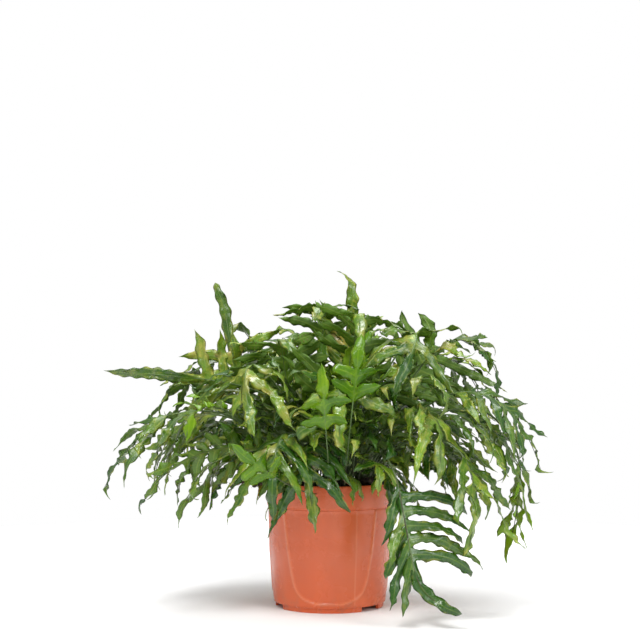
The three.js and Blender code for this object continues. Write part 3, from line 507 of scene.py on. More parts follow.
@dataclass(frozen=True)
class PlasticFinish:
    """Semi-gloss moulded plastic with faint flow marks, scuffs, a dusty foot, and a painted highlight along
    the panel brims and seam.
    """

    name: str = "terracotta_plastic"
    body: Colour = (0.62, 0.108, 0.029)
    pale: Colour = (0.67, 0.148, 0.05)
    worn_and_ridge_highlight: Colour = (0.78, 0.27, 0.14)
    dust: Colour = (0.38, 0.12, 0.06)
    roughness: float = 0.36
    flow_scales: tuple[float, float, float] = (9.0, 9.0, 1.6)
    scuff_scales: tuple[float, float, float] = (60.0, 60.0, 420.0)
    dust_top: float = 35 * MM
    relief: float = 0.18 * MM

    def material(self) -> bpy.types.Material:
        """Builds the pot's material.

        Returns:
            The material.
        """
        tree = ShaderTree(self.name, self.roughness)
        place = tree.place()
        flow = tree.noise(3.0, 4.0, tree.stretched(place, self.flow_scales))
        colour = tree.mix(tree.band(flow, 0.35, 0.68, (0.0, 0.35)), self.body, self.pale)
        # The raised panel brims and the seam are painted paler: a painted highlight along the ridges. The
        # same pale colour marks the real scuffs further down.
        colour = tree.mix(tree.times(tree.attribute("brim"), 0.5), colour, self.worn_and_ridge_highlight)
        low = tree.band(tree.height(), self.dust_top, 0.0)
        low = tree.times(low, tree.band(tree.noise(55.0, 4.0), 0.45, 0.7))
        colour = tree.mix(tree.times(low, 0.6), colour, self.dust)
        scuffs = tree.band(tree.noise(1.0, 2.0, tree.stretched(place, self.scuff_scales)), 0.66, 0.74)
        scuffs = tree.times(scuffs, tree.band(tree.noise(18.0, 2.0), 0.5, 0.62))
        rough = tree.band(tree.noise(38.0), 0.35, 0.7, (0.2, 0.32))
        fine = tree.add_up(tree.noise(900.0, 2.0), tree.times(tree.noise(26.0, 2.0), 2.2))
        return tree.finish(
            Base_Color=tree.mix(tree.times(scuffs, 0.25), colour, self.worn_and_ridge_highlight),
            Roughness=tree.add_up(rough, tree.times(scuffs, 0.2)),
            Normal=tree.bump(fine, self.relief),
        )


@dataclass(frozen=True)
class EarthFinish:
    """Dark crumbly matter: damp peat, or the scaly skin of a rhizome."""

    name: str
    dark: Colour
    light: Colour
    fleck: Colour
    scale: float = 220.0
    roughness: float = 0.85
    relief: float = 1.2 * MM

    def material(self) -> bpy.types.Material:
        """Builds the material from three sizes of noise.

        Returns:
            The material.
        """
        tree = ShaderTree(self.name, self.roughness)
        grain, lump = tree.noise(self.scale, 5.0), tree.noise(self.scale * 0.18)
        colour = tree.mix(tree.band(grain, 0.35, 0.7), self.dark, self.light)
        colour = tree.mix(tree.band(lump, 0.45, 0.75, (0.0, 0.6)), colour, self.dark)
        flecks = tree.band(tree.noise(self.scale * 2.4, 2.0), 0.68, 0.74)
        return tree.finish(
            Base_Color=tree.mix(flecks, colour, self.fleck),
            Roughness=tree.band(lump, 0.3, 0.7, (self.roughness - 0.2, self.roughness + 0.1)),
            Normal=tree.bump(grain, self.relief),
        )


MATURE = LeafFinish(
    "mature_leaf",
    deep=(0.012, 0.062, 0.001),
    light=(0.138, 0.255, 0.011),
    margin=(0.37, 0.38, 0.05),
    dry=(0.32, 0.26, 0.05),
    under=(0.07, 0.15, 0.008),
    vein=(0.19, 0.28, 0.03),
)
FRESH = LeafFinish(
    "fresh_leaf",
    deep=(0.045, 0.13, 0.001),
    light=(0.115, 0.235, 0.002),
    margin=(0.25, 0.36, 0.01),
    dry=(0.17, 0.27, 0.005),
    under=(0.12, 0.22, 0.006),
    vein=(0.19, 0.32, 0.01),
    spores=0.0,
    patches=0.5,
    roughness=0.22,
    specular=0.3,
)
STALK = StalkFinish("leaf_stalk", foot=(0.035, 0.03, 0.014), top=(0.07, 0.12, 0.03))
PEAT = EarthFinish("damp_peat", (0.009, 0.006, 0.004), (0.045, 0.028, 0.016), (0.16, 0.11, 0.06))
BARK = EarthFinish(
    "rhizome_skin", (0.012, 0.008, 0.005), (0.06, 0.035, 0.018), (0.14, 0.09, 0.045), 320.0, 0.8
)


# ---- Geometry Nodes -------------------------------------------------------------------------


class GeometryTree(NodeTree):
    """A Geometry Nodes tree with named inputs."""

    PREFIX = "GeometryNode"

    def __init__(self, name: str) -> None:
        """Makes a tree with a geometry input and output."""
        super().__init__(bpy.data.node_groups.new(name, "GeometryNodeTree"))
        for side in ("INPUT", "OUTPUT"):
            self.tree.interface.new_socket("Geometry", in_out=side, socket_type="NodeSocketGeometry")
        self.start = self.tree.nodes.new("NodeGroupInput")
        self.end = self.tree.nodes.new("NodeGroupOutput")
        self.values: dict[str, object] = {}

    def given(self, name: str, kind: str, value: object) -> Socket:
        """Adds a named input.

        Args:
            name: Name of the input.
            kind: Socket type without its prefix NodeSocket.
            value: Value that the modifier sets.

        Returns:
            The input as a socket to link from.
        """
        made = self.tree.interface.new_socket(name, in_out="INPUT", socket_type="NodeSocket" + kind)
        self.values[made.identifier] = value
        return self.start.outputs[name]

    def random(self, low: tuple, high: tuple, seed: Socket) -> Socket:
        """Random vector between two others, one for each point."""
        drawn = {0: low, 1: high, "Seed": seed}
        return self.add("FunctionNodeRandomValue", drawn, data_type="FLOAT_VECTOR").outputs[0]

    def above(self, value: Socket, limit: float) -> Socket:
        """Whether a number is greater than a limit."""
        return self.add("FunctionNodeCompare", {0: value, 1: limit}, operation="GREATER_THAN").outputs[0]

    def stored(self, name: str, kind: str) -> Socket:
        """Attribute that the geometry carries."""
        return self.add("InputNamedAttribute", {"Name": name}, data_type=kind).outputs["Attribute"]

    def join(self, *parts: Socket) -> Socket:
        """Several geometries as one."""
        node = self.add("JoinGeometry")
        for part in parts:
            self.put(node.inputs[0], part)
        return node.outputs[0]

    def placed(self, points: Socket, **inputs: object) -> Socket:
        """Instances on points, with the node's inputs named with _ for a space."""
        named = {name.replace("_", " "): value for name, value in inputs.items()}
        return self.add("InstanceOnPoints", {"Points": points, **named}).outputs[0]

    def painted(self, geometry: Socket, material: Socket, where: object = True) -> Socket:
        """Geometry with a material on its selected faces."""
        chosen = {"Geometry": geometry, "Selection": where, "Material": material}
        return self.add("SetMaterial", chosen).outputs[0]

    def dressed(self, geometry: Socket, material: Socket) -> Socket:
        """Realised geometry with one material."""
        return self.painted(self.add("RealizeInstances", {0: geometry}).outputs[0], material)

    def run(self, piece: bpy.types.Object, result: Socket) -> None:
        """Applies the tree to a piece, whose mesh becomes plain again.

        Args:
            piece: The piece that the tree starts from.
            result: The finished geometry.
        """
        self.put(self.end.inputs[0], result)
        modifier = piece.modifiers.new(self.tree.name, "NODES")
        modifier.node_group = self.tree
        for identifier, value in self.values.items():
            modifier[identifier] = value
        bake(piece)


def bake(piece: bpy.types.Object) -> None:
    """Turns a piece and its modifiers into a plain mesh."""
    graph = bpy.context.evaluated_depsgraph_get()
    made = piece.evaluated_get(graph)
    mesh = bpy.data.meshes.new_from_object(made, preserve_all_data_layers=True, depsgraph=graph)
    piece.modifiers.clear()
    old, piece.data = piece.data, mesh
    bpy.data.meshes.remove(old)
    mesh.name = piece.name


# ---- Reading a frond's solid ----------------------------------------------------------------


@dataclass
class Lobe:
    """One lobe of a solid frond: its midrib, both margins and its tip."""

    hand: Hand | None
    centres: list[Point]
    normals: list[Point]
    right: list[Point]
    left: list[Point]
    tip: Point


@dataclass
class Plan:
    """A frond as lines: its rachis from the foot on, what lies beside it, and its end lobe.

    Stations of the blade are numbered from 0; margins and lobes are kept by hand and station.
    """

    centres: Point
    normals: Point
    stems: int
    stations: int
    margins: dict[tuple[Hand, int], Point]
    lobes: dict[tuple[Hand, int], Lobe]
    end: Lobe


class SolidFrond:
    """One frond's solid read back as a plan.

    The solid is a sheet as thick as BLADE, or as STIPE below the blade, with a point of each face
    over the other wherever a rib runs.
    """

    SLACK = 0.016 * MM
    BLADE = 1.4 * MM
    STIPE = 2.4 * MM
    END_STATIONS = 3

    def __init__(self, node: bpy.types.Object) -> None:
        """Reads the solid of a node.

        Args:
            node: The frond in the frame.
        """
        shape = welded(node)
        shape.verts.ensure_lookup_table()
        self.points = np.array([v.co[:] for v in shape.verts])
        self.third: dict[tuple[int, int], int] = {}
        for face in shape.faces:
            a, b, c = (v.index for v in face.verts)
            self.third.update({(a, b): c, (b, c): a, (c, a): b})
        self.beside = [{e.other_vert(v).index for e in v.link_edges} for v in shape.verts]
        shape.free()
        self.twin, self.gap = self._find_twins()
        foot = self._find_foot()
        path = self._main_path(foot)
        if sum(self._normal(v)[2] for v in path) < 0:
            path = [self.twin[v] for v in path]
        self.path = path
        self.stems = sum(1 for v in path if self._in_stipe(v))
        self.blade = path[self.stems : -self.END_STATIONS]

    def plan(self) -> Plan:
        """Reads the frond's lines.

        Returns:
            The plan.
        """
        margins, lobes = self._read_sides()
        end = self._read_lobe(self.blade[-1], self.path[-self.END_STATIONS], None)
        centres = np.array([self._centre(v) for v in self.path])
        normals = np.array([self._normal(v) for v in self.path])
        return Plan(centres, normals, self.stems, len(self.blade), margins, lobes, end)

    def _find_twins(self) -> tuple[dict[int, int], dict[int, float]]:
        """Pairs of upper and lower points that stand over each other at a rib.

        Returns:
            The other point of each such point, and the distance between the two.
        """
        tree = KDTree(len(self.points))
        for i, point in enumerate(self.points):
            tree.insert(point, i)
        tree.balance()
        twin, gap = {}, {}
        for i, point in enumerate(self.points):
            for _, j, reach in tree.find_range(point, self.STIPE + self.SLACK):
                near = min(abs(reach - self.BLADE), abs(reach - self.STIPE)) < self.SLACK
                if j > i and near and j not in self.beside[i]:
                    if len(self.beside[i] & self.beside[j]) >= 2 and i not in twin and j not in twin:
                        twin[i], twin[j] = j, i
                        gap[i] = gap[j] = reach
        return twin, gap

    def _in_stipe(self, vertex: int) -> bool:
        """Whether a rib point lies in the thick stipe."""
        return self.gap[vertex] > (self.BLADE + self.STIPE) / 2

    def _ribs_beside(self, vertex: int) -> list[int]:
        """Rib points joined to a rib point."""
        return [v for v in self.beside[vertex] if v in self.twin]

    def _find_foot(self) -> int:
        """The rib point at the bottom of the stipe."""
        ends = [v for v in sorted(self.twin) if self._in_stipe(v) and len(self._ribs_beside(v)) == 1]
        return min(ends, key=lambda v: self.points[v][2])

    def _main_path(self, foot: int) -> list[int]:
        """Follows the rachis from the foot to the end lobe, on the foot point's face.

        Args:
            foot: Rib point at the bottom of the stipe.

        Returns:
            Rib points of the rachis and of the end lobe.
        """
        depth: dict[int, int] = {}

        def measure(vertex: int, before: int) -> int:
            """Longest run of rib points beyond a vertex."""
            beyond = [measure(v, vertex) for v in self._ribs_beside(vertex) if v != before]
            depth[vertex] = 1 + max(beyond, default=0)
            return depth[vertex]

        measure(foot, -1)
        path, before = [foot], -1
        while True:
            beyond = [v for v in self._ribs_beside(path[-1]) if v != before]
            if not beyond:
                return path
            before = path[-1]
            path.append(max(beyond, key=lambda v: depth[v]))

    def _normal(self, vertex: int) -> Point:
        """Direction from the lower to the upper point of a rib."""
        return unit(self.points[vertex] - self.points[self.twin[vertex]])

    def _centre(self, vertex: int) -> Point:
        """Middle of a rib."""
        return (self.points[vertex] + self.points[self.twin[vertex]]) / 2

    def _ring(self, vertex: int, first: int) -> list[int]:
        """Neighbours of a vertex, anticlockwise seen from outside.

        Args:
            vertex: The vertex.
            first: The neighbour to start from.

        Returns:
            The neighbours in order.
        """
        order = [first]
        while True:
            following = self.third[(vertex, order[-1])]
            if following == first:
                return order
            order.append(following)

    def _read_sides(self) -> tuple[dict, dict]:
        """Margin points and lobes on both sides of every station of the blade.

        Returns:
            Margin points and lobes, both by hand and station.
        """
        margins, lobes = {}, {}
        for i, vertex in enumerate(self.blade):
            ring = self._ring(vertex, self.path[self.stems + i - 1])
            turn = ring.index(self.path[self.stems + i + 1])
            sides = {Hand.RIGHT: ring[1:turn], Hand.LEFT: ring[:turn:-1]}
            for hand, run in sides.items():
                ribs = [v for v in run if v in self.twin]
                if ribs:
                    lobes[(hand, i)] = self._read_lobe(vertex, ribs[0], hand)
                elif run:
                    margins[(hand, i)] = run[-1]
        for hand, i in list(margins):
            if margins[(hand, i)] == margins.get((hand, i + 1)):
                del margins[(hand, i)]
        return {key: self.points[v] for key, v in margins.items()}, lobes

    def _read_lobe(self, base: int, first: int, hand: Hand | None) -> Lobe:
        """Walks one lobe from the rachis to its tip.

        Args:
            base: Rib point of the rachis that the lobe grows from.
            first: First rib point of the lobe.
            hand: Side of the rachis, or None for the end lobe.

        Returns:
            The lobe.
        """
        centres, normals = [self._centre(base)], [self._normal(base)]
        right, left, before, vertex = [], [], base, first
        while True:
            ring = self._ring(vertex, before)
            centres.append(self._centre(vertex))
            normals.append(self._normal(vertex))
            right.append(self.points[ring[2]])
            left.append(self.points[ring[4]])
            before, vertex = vertex, ring[3]
            if vertex not in self.twin:
                return Lobe(hand, centres, normals, right, left, self.points[vertex])


# ---- Fine fronds ----------------------------------------------------------------------------


@dataclass(frozen=True)
class Habit:
    """How the lobes of a leaf ruffle at the margin, turn about the midrib and roll at the end."""

    wave: float
    twist: float
    roll: float = 1.0


OLD_HABIT = Habit(3.1 * MM, 0.5)
YOUNG_HABIT = Habit(1.9 * MM, 0.35, 0.6)


class Frond:
    """The fine mesh of one frond, grown over its solid.

    A lobe is a grid of rows along its midrib and COLUMNS across it, from -1 at the right margin to
    1 at the left one. Each corner is a pair of points, one on the upper and one on the lower face.
    """

    COLUMNS = np.array([-1.0, -0.62, -0.3, 0.0, 0.3, 0.62, 1.0])
    THICKNESS = np.array([0.0, 0.55, 0.72, 0.95, 0.72, 0.55, 0.0]) * MM
    MIDRIB = 3
    RACHIS = 1.0 * MM
    RIB_STEP = 6 * MM
    RIB_RADII = ([0, 0.12, 1], [0.55, 0.42, 0.16])
    LEAST_ROWS = 8
    MOST_ROWS = 40
    TONE_SPREAD = 0.22
    RUFFLE_PITCH = (16, 27)
    SMALL_RUFFLE = 0.28
    FULL_RUFFLE = 45 * MM
    SWAY = 2.4 * MM
    CRINKLE = 0.15
    ROLL_LIMITS = (-2.3, 2.0)

    def __init__(
        self, plan: Plan, seed: int, habit: Habit, tone: float | None = None, row: float = 3.0 * MM,
        stalk: float = 1.35 * MM,
    ) -> None:
        """Prepares a frond.

        Args:
            plan: The frond's lines.
            seed: Seed of its ruffles and tones.
            habit: How much its lobes ruffle, turn and roll.
            tone: Lightness of the whole frond from 0 to 1, or None for a random one.
            row: Length of blade between two rows of points.
            stalk: Radius of the stipe.
        """
        self.plan = plan
        self.row = row
        self.stalk = stalk
        self.random = np.random.default_rng(seed)
        self.habit = habit
        drawn = float(self.random.uniform(0.05, 0.7))
        self.tone = drawn if tone is None else tone
        self.points: list[Point] = []
        self.places: list[tuple[float, float, float]] = []
        self.faces: list[tuple[int, ...]] = []
        self.below: list[float] = []
        self.ribs: list[tuple[Point, Point]] = []
        self.rachis: dict[int, tuple[int, int]] = {}
        self.notches: dict[tuple[Hand, int], int] = {}

    def _vertex(self, point: Point, along: float, across: float, tone: float) -> int:
        """Adds a point.

        Args:
            point: Its place in the scene.
            along: Its distance from the lobe's base in centimetres.
            across: Its distance from the midrib, 1 at the margin.
            tone: The lobe's tone from 0 to 1.

        Returns:
            The point's number.
        """
        self.points.append(point)
        self.places.append((along, across, tone))
        return len(self.points) - 1

    def _face(self, corners: tuple[int, ...], below: float) -> None:
        """Adds a face unless it has collapsed to a line.

        Args:
            corners: Numbers of its points.
            below: 1 on the underside, 0 on the upper side.
        """
        kept = tuple(c for k, c in enumerate(corners) if c != corners[k - 1])
        if len(kept) > 2:
            self.faces.append(kept)
            self.below.append(below)

    def _both(self, upper: list[tuple[int, int]]) -> None:
        """Adds a face to the upper sheet and its mate to the lower one.

        Args:
            upper: Corners as pairs of an upper and a lower point, anticlockwise from above.
        """
        self._face(tuple(pair[0] for pair in upper), 0.0)
        self._face(tuple(pair[1] for pair in reversed(upper)), 1.0)

    def grow(self) -> None:
        """Builds the blade along the rachis, then every lobe."""
        self._lay_rachis()
        for hand in Hand:
            self._tile_side(hand)
        last = self.plan.stations - 1
        rib = self.rachis[2 * last]
        base = [self._pair(Hand.RIGHT, last), *[rib] * 5, self._pair(Hand.LEFT, last)]
        self._add_lobe(self.plan.end, base)
        right, left = self.notches[(Hand.RIGHT, 0)], self.notches[(Hand.LEFT, 0)]
        self._face((left, right, self.rachis[0][0]), 0.0)
        self._face((left, self.rachis[0][1], right), 1.0)

    def _lay_rachis(self) -> None:
        """Places the rachis points at whole and half stations, and the rib lines."""
        line, normals, first = self.plan.centres, self.plan.normals, self.plan.stems
        for i in range(self.plan.stations):
            self._add_rachis(2 * i, line[first + i], normals[first + i])
            if i + 1 < self.plan.stations:
                a, b, c, d = (line[first + i + k] for k in (-1, 0, 1, 2))
                middle = (9 * (b + c) - a - d) / 16
                self._add_rachis(2 * i + 1, middle, unit(normals[first + i] + normals[first + i + 1]))
        knots = np.concatenate([[0], np.cumsum(np.linalg.norm(np.diff(line, axis=0), axis=1))])
        at = np.linspace(0, knots[-1], max(self.LEAST_ROWS, int(knots[-1] / self.RIB_STEP)))
        slope = np.diff(line, axis=0) / np.diff(knots)[:, None]
        curve = spline(knots, line[:, None], slope[0][None], slope[-1][None], at)[:, 0]
        share = at / knots[-1]
        blade_from = knots[first] / knots[-1]
        taper = np.clip((share - blade_from) / (1 - blade_from), 0, 1)
        self.ribs.append((curve, self.stalk * (1 - 0.74 * taper**0.7)))

    def _add_rachis(self, key: int, point: Point, normal: Point) -> None:
        """Adds the upper and lower point of the blade on the rachis."""
        half = self.RACHIS / 2 * normal
        upper = self._vertex(point + half, 0.0, 0.0, self.tone)
        lower = self._vertex(point - half, 0.0, 0.0, self.tone)
        self.rachis[key] = (upper, lower)

    def _pair(self, hand: Hand, station: int) -> tuple[int, int]:
        """The margin point beside a station as a corner of both sheets."""
        key = (hand, station)
        if key not in self.notches:
            self.notches[key] = self._vertex(self.plan.margins[key], 0.0, 1.0, self.tone)
        return (self.notches[key],) * 2

    def _tile_side(self, hand: Hand) -> None:
        """Covers one side of the rachis with wing strips and lobes.

        Args:
            hand: The side.
        """
        here = 0
        while here + 1 < self.plan.stations:
            lobe = self.plan.lobes.get((hand, here + 1))
            if lobe is not None:
                ribs = [self.rachis[2 * here + k] for k in range(5)]
                base = [self._pair(hand, here), *ribs, self._pair(hand, here + 2)]
                self._add_lobe(lobe, base if hand is Hand.RIGHT else base[::-1])
                here += 2
            else:
                step = 1 if (hand, here + 1) in self.plan.margins else 2
                self._add_wing(hand, here, here + step)
                here += step

    def _add_wing(self, hand: Hand, first: int, last: int) -> None:
        """Covers the side between two margin points where no lobe grows.

        Args:
            hand: The side.
            first: Station of the lower margin point.
            last: Station of the upper margin point.
        """
        start, stop = self._pair(hand, first), self._pair(hand, last)
        count = 2 * (last - first)
        outer = [start]
        for k in range(1, count):
            share = k / count
            point = self.points[start[0]] * (1 - share) + self.points[stop[0]] * share
            outer.append((self._vertex(point, 0.0, 1.0, self.tone),) * 2)
        outer.append(stop)
        for k in range(count):
            a, b = self.rachis[2 * first + k], self.rachis[2 * first + k + 1]
            quad = [a, outer[k], outer[k + 1], b]
            self._both(quad if hand is Hand.RIGHT else quad[::-1])

    def _add_lobe(self, lobe: Lobe, base: list[tuple[int, int]]) -> None:
        """Adds the two sheets of one lobe.

        Args:
            lobe: The lobe of the solid.
            base: Seven corner pairs along the rachis, from the lobe's right to its left.
        """
        middle, normal, at, length = self._surface(lobe, base)
        tone = float(np.clip(self.tone + self.random.normal(0, self.TONE_SPREAD), 0, 1))
        rows = [base]
        for r in range(1, len(at) - 1):
            row = []
            for c, across in enumerate(self.COLUMNS):
                along = at[r] * length / CM
                half = normal[r, c] * self.THICKNESS[c] / 2
                upper = self._vertex(middle[r, c] + half, along, across, tone)
                edge = c in (0, len(self.COLUMNS) - 1)
                lower = upper if edge else self._vertex(middle[r, c] - half, along, across, tone)
                row.append((upper, lower))
            rows.append(row)
        tip = self._vertex(middle[-1, self.MIDRIB], length / CM, 0.0, tone)
        rows.append([(tip, tip)] * len(self.COLUMNS))
        for low, high in zip(rows, rows[1:]):
            for c in range(len(self.COLUMNS) - 1):
                self._both([low[c], high[c], high[c + 1], low[c + 1]])
        reach = slice(0, -2)
        radius = np.interp(at, *self.RIB_RADII)[reach] * MM
        self.ribs.append((middle[reach, self.MIDRIB], radius))

    def _surface(self, lobe: Lobe, base: list[tuple[int, int]]) -> tuple[Point, Point, Point, float]:
        """Middle surface of a lobe.

        Args:
            lobe: The lobe of the solid.
            base: Seven corner pairs along the rachis.

        Returns:
            Grid of points, grid of normals, parameters of the rows, and the length.
        """
        centres = np.array([*lobe.centres, lobe.tip])
        knots = np.concatenate([[0], np.cumsum(np.linalg.norm(np.diff(centres, axis=0), axis=1))])
        length = float(knots[-1])
        knots = knots / length
        across = np.abs(self.COLUMNS)[:, None]
        grid = [np.array([(self.points[a] + self.points[b]) / 2 for a, b in base])]
        for centre, right, left in zip(lobe.centres[1:], lobe.right, lobe.left):
            side = np.where((self.COLUMNS < 0)[:, None], right, left)
            grid.append(centre + across * (side - centre))
        grid.append(np.repeat(lobe.tip[None], len(self.COLUMNS), axis=0))
        values = np.array(grid)
        start = (values[1] - values[0]) / knots[1]
        if lobe.hand is not None:
            ahead = unit(values[0][5] - values[0][1])
            reach = np.linalg.norm(start, axis=1)
            start[0] = 0.75 * ahead * reach[0] + 0.25 * start[0]
            start[6] = -0.75 * ahead * reach[6] + 0.25 * start[6]
        end = np.tile((centres[-1] - centres[-2]) / (1 - knots[-2]), (len(self.COLUMNS), 1))
        at = np.linspace(0, 1, int(np.clip(length / self.row, self.LEAST_ROWS, self.MOST_ROWS)) + 1)
        middle = spline(knots, values, start, end, at)
        steer = np.array([*lobe.normals, lobe.normals[-1]])[:, None]
        flat = (steer[1:] - steer[:-1]) / np.diff(knots)[:, None, None]
        normal = unit(spline(knots, steer, flat[0], flat[-1] * 0, at))
        rib = middle[:, self.MIDRIB, None]
        lift, width = self._relief(at, length, np.linalg.norm(middle - rib, axis=-1))
        middle = rib + (middle - rib) * width[..., None] + normal * lift[..., None]
        middle = self._curl(middle, normal, at, length)
        return middle, self._true_normals(middle, normal), at, length

    def _relief(self, at: Point, length: float, reach: Point) -> tuple[Point, Point]:
        """Ruffles, camber, twist and crinkled outline over the plain surface.

        Args:
            at: Parameters of the rows.
            length: Length of the lobe.
            reach: Distance of each point from the midrib.

        Returns:
            Heights over the surface and factors of the distance from the midrib.
        """
        draw = self.random
        along = 2 * math.pi * at[:, None] * length
        across = self.COLUMNS[None]
        pitch = draw.uniform(*self.RUFFLE_PITCH) * MM
        phase = draw.uniform(0, 2 * math.pi, 8)
        side = np.where(across < 0, phase[0], phase[1])
        drift = 1.1 * np.sin(along / (3.1 * pitch) + phase[2])
        uneven = 0.62 + 0.38 * np.sin(along / (2.1 * pitch) + 2.3 * side + phase[3])
        grown = smooth(at, 0.03, 0.2)[:, None]
        late = smooth(at, 0.82, 1.0)[:, None]
        size = self.habit.wave * draw.uniform(0.5, 1.3) * min(1.0, length / self.FULL_RUFFLE)
        size = size * (1 - 0.6 * late)
        ripples = uneven * np.sin(along / pitch + side + drift)
        ripples += self.SMALL_RUFFLE * np.sin(along / (0.47 * pitch) + 1.9 * side + phase[4])
        camber = draw.uniform(-0.4, 1.6) * MM * (1 - across**2)
        sway = self.SWAY * np.sin(along / (3.3 * pitch) + phase[5])
        turn = draw.normal(0, self.habit.twist) * at[:, None] ** 1.2
        turn = turn + 0.2 * np.sin(along / (3.7 * pitch) + phase[6])
        lift = size * np.abs(across) ** 1.5 * ripples + camber + sway
        lift = lift + np.sign(across) * reach * np.sin(turn)
        crinkle = self.CRINKLE * np.sin(along / (0.83 * pitch) + side * 1.7) * np.abs(across) * (1 - late)
        blunt = 1 + draw.uniform(-0.3, 0.55) * smooth(at, 0.74, 0.93)[:, None]
        return grown * lift, 1 + grown * ((np.cos(turn) + crinkle) * blunt - 1)

    def _curl(self, middle: Point, normal: Point, at: Point, length: float) -> Point:
        """Rolls the end of a lobe up or down.

        Args:
            middle: Grid of points.
            normal: Grid of normals.
            at: Parameters of the rows.
            length: Length of the lobe.

        Returns:
            The grid with its end rolled.
        """
        roll = float(np.clip(self.random.normal(-0.4, 1.1), *self.ROLL_LIMITS)) * self.habit.roll
        start = self.random.uniform(0.68, 0.84)
        if abs(roll) < 0.1:
            return middle
        radius = (1 - start) * length / abs(roll)
        angle = np.clip((at - start) / (1 - start), 0, 1)[:, None, None] * abs(roll)
        first = int(np.searchsorted(at, start))
        ahead = unit(middle[first, self.MIDRIB] - middle[first - 1, self.MIDRIB])
        out = math.copysign(1.0, roll) * normal[first, 0]
        return middle + radius * ((1 - np.cos(angle)) * out - (angle - np.sin(angle)) * ahead)

    @staticmethod
    def _true_normals(middle: Point, guide: Point) -> Point:
        """Normals of the waved surface.

        Args:
            middle: Grid of points.
            guide: Grid of normals that tell the upper side, used as they are at the tip.

        Returns:
            Grid of normals.
        """
        down = np.gradient(middle, axis=0)
        over = np.gradient(middle, axis=1)
        normal = np.cross(down, over)
        flat = np.linalg.norm(normal, axis=-1, keepdims=True) < 1e-10
        normal = unit(np.where(flat, guide, normal))
        facing = np.sum(normal * guide, axis=-1, keepdims=True)
        return np.where(facing < 0, -normal, normal)

    def mesh(self, name: str) -> bpy.types.Mesh:
        """Makes the blade's mesh, with its rib lines as loose edges for the rib tree.

        Args:
            name: Name of the mesh.

        Returns:
            The mesh.
        """
        points, edges, thickness = list(self.points), [], [0.0] * len(self.points)
        for curve, radius in self.ribs:
            first = len(points)
            points.extend(curve)
            thickness.extend(radius)
            edges.extend((first + k, first + k + 1) for k in range(len(curve) - 1))
        mesh = bpy.data.meshes.new(name)
        mesh.from_pydata([tuple(p) for p in points], edges, self.faces)
        places = np.zeros((len(points), 3), np.float32)
        places[: len(self.places)] = np.array(self.places, np.float32)
        corners = np.zeros(len(mesh.loops), np.int32)
        mesh.loops.foreach_get("vertex_index", corners)
        mesh.uv_layers.new(name="lobe").data.foreach_set("uv", places[corners, :2].ravel())
        store(mesh, "tone", places[:, 2].copy())
        store(mesh, "rib_radius", thickness)
        store(mesh, "below", self.below, "FACE")
        return mesh


@dataclass(frozen=True)
class LeafSkins:
    """Materials that all leaves share."""

    mature: bpy.types.Material
    fresh: bpy.types.Material
    stalk: bpy.types.Material

    def blade(self, young: bool) -> bpy.types.Material:
        """Material of a blade by age."""
        return self.fresh if young else self.mature


def add_ribs(piece: bpy.types.Object, skins: LeafSkins, young: bool, sides: int = 6) -> None:
    """Lays round ribs along the rib lines of a leaf and dresses the leaf.

    Args:
        piece: The leaf's blade with its rib lines as loose edges.
        skins: Materials of leaves.
        young: Whether the leaf is fresh and bright.
        sides: Sides of the ribs.
    """
    tree = GeometryTree("frond_ribs")
    count = tree.given("Rib Sides", "Int", sides)
    skin = tree.given("Blade Material", "Material", skins.blade(young))
    stalk = tree.given("Stalk Material", "Material", skins.stalk)
    whole = tree.start.outputs["Geometry"]
    radius = tree.stored("rib_radius", "FLOAT")
    is_rib = {"Geometry": whole, "Selection": tree.above(radius, LEAST_RIB)}
    apart = tree.add("SeparateGeometry", is_rib, domain="POINT")
    lines = tree.add("MeshToCurve", {"Mesh": apart.outputs["Selection"]}).outputs[0]
    ring = tree.add("CurvePrimitiveCircle", {"Resolution": count, "Radius": 1.0}).outputs["Curve"]
    sweep = {"Curve": lines, "Profile Curve": ring, "Scale": radius, "Fill Caps": True}
    tubes = tree.dressed(tree.add("CurveToMesh", sweep).outputs[0], stalk)
    tree.run(piece, tree.join(tree.dressed(apart.outputs["Inverted"], skin), tubes))
    bpy.data.node_groups.remove(tree.tree)


TONES = {"frond_01": 0.0, "frond_02": 0.4, "frond_03": 0.55, "frond_04": 0.8}


@dataclass
class Foliage:
    """All fronds of the plant."""

    nodes: dict[str, bpy.types.Object]
    skins: LeafSkins
    turned: tuple[str, ...] = ("frond_02",)
    seed: int = 1000

    def build(self) -> list[bpy.types.Object]:
        """Grows, ribs and dresses every frond.

        Returns:
            The finished fronds.
        """
        pieces = []
        for number, name in enumerate(sorted(n for n in self.nodes if "frond" in n)):
            young = name.startswith("young")
            plan = SolidFrond(self.nodes[name]).plan()
            habit = YOUNG_HABIT if young else OLD_HABIT
            frond = Frond(plan, self.seed + number, habit, TONES.get(name))
            frond.grow()
            if name in self.turned:
                frond.below = [1.0 - share for share in frond.below]
            piece = new_object(name + "_leaf", frond.mesh(name + "_leaf"))
            add_ribs(piece, self.skins, young)
            shade_smooth(piece.data)
            declare(piece, [name])
            pieces.append(piece)
        return pieces


# ---- Small leaves ---------------------------------------------------------------------------


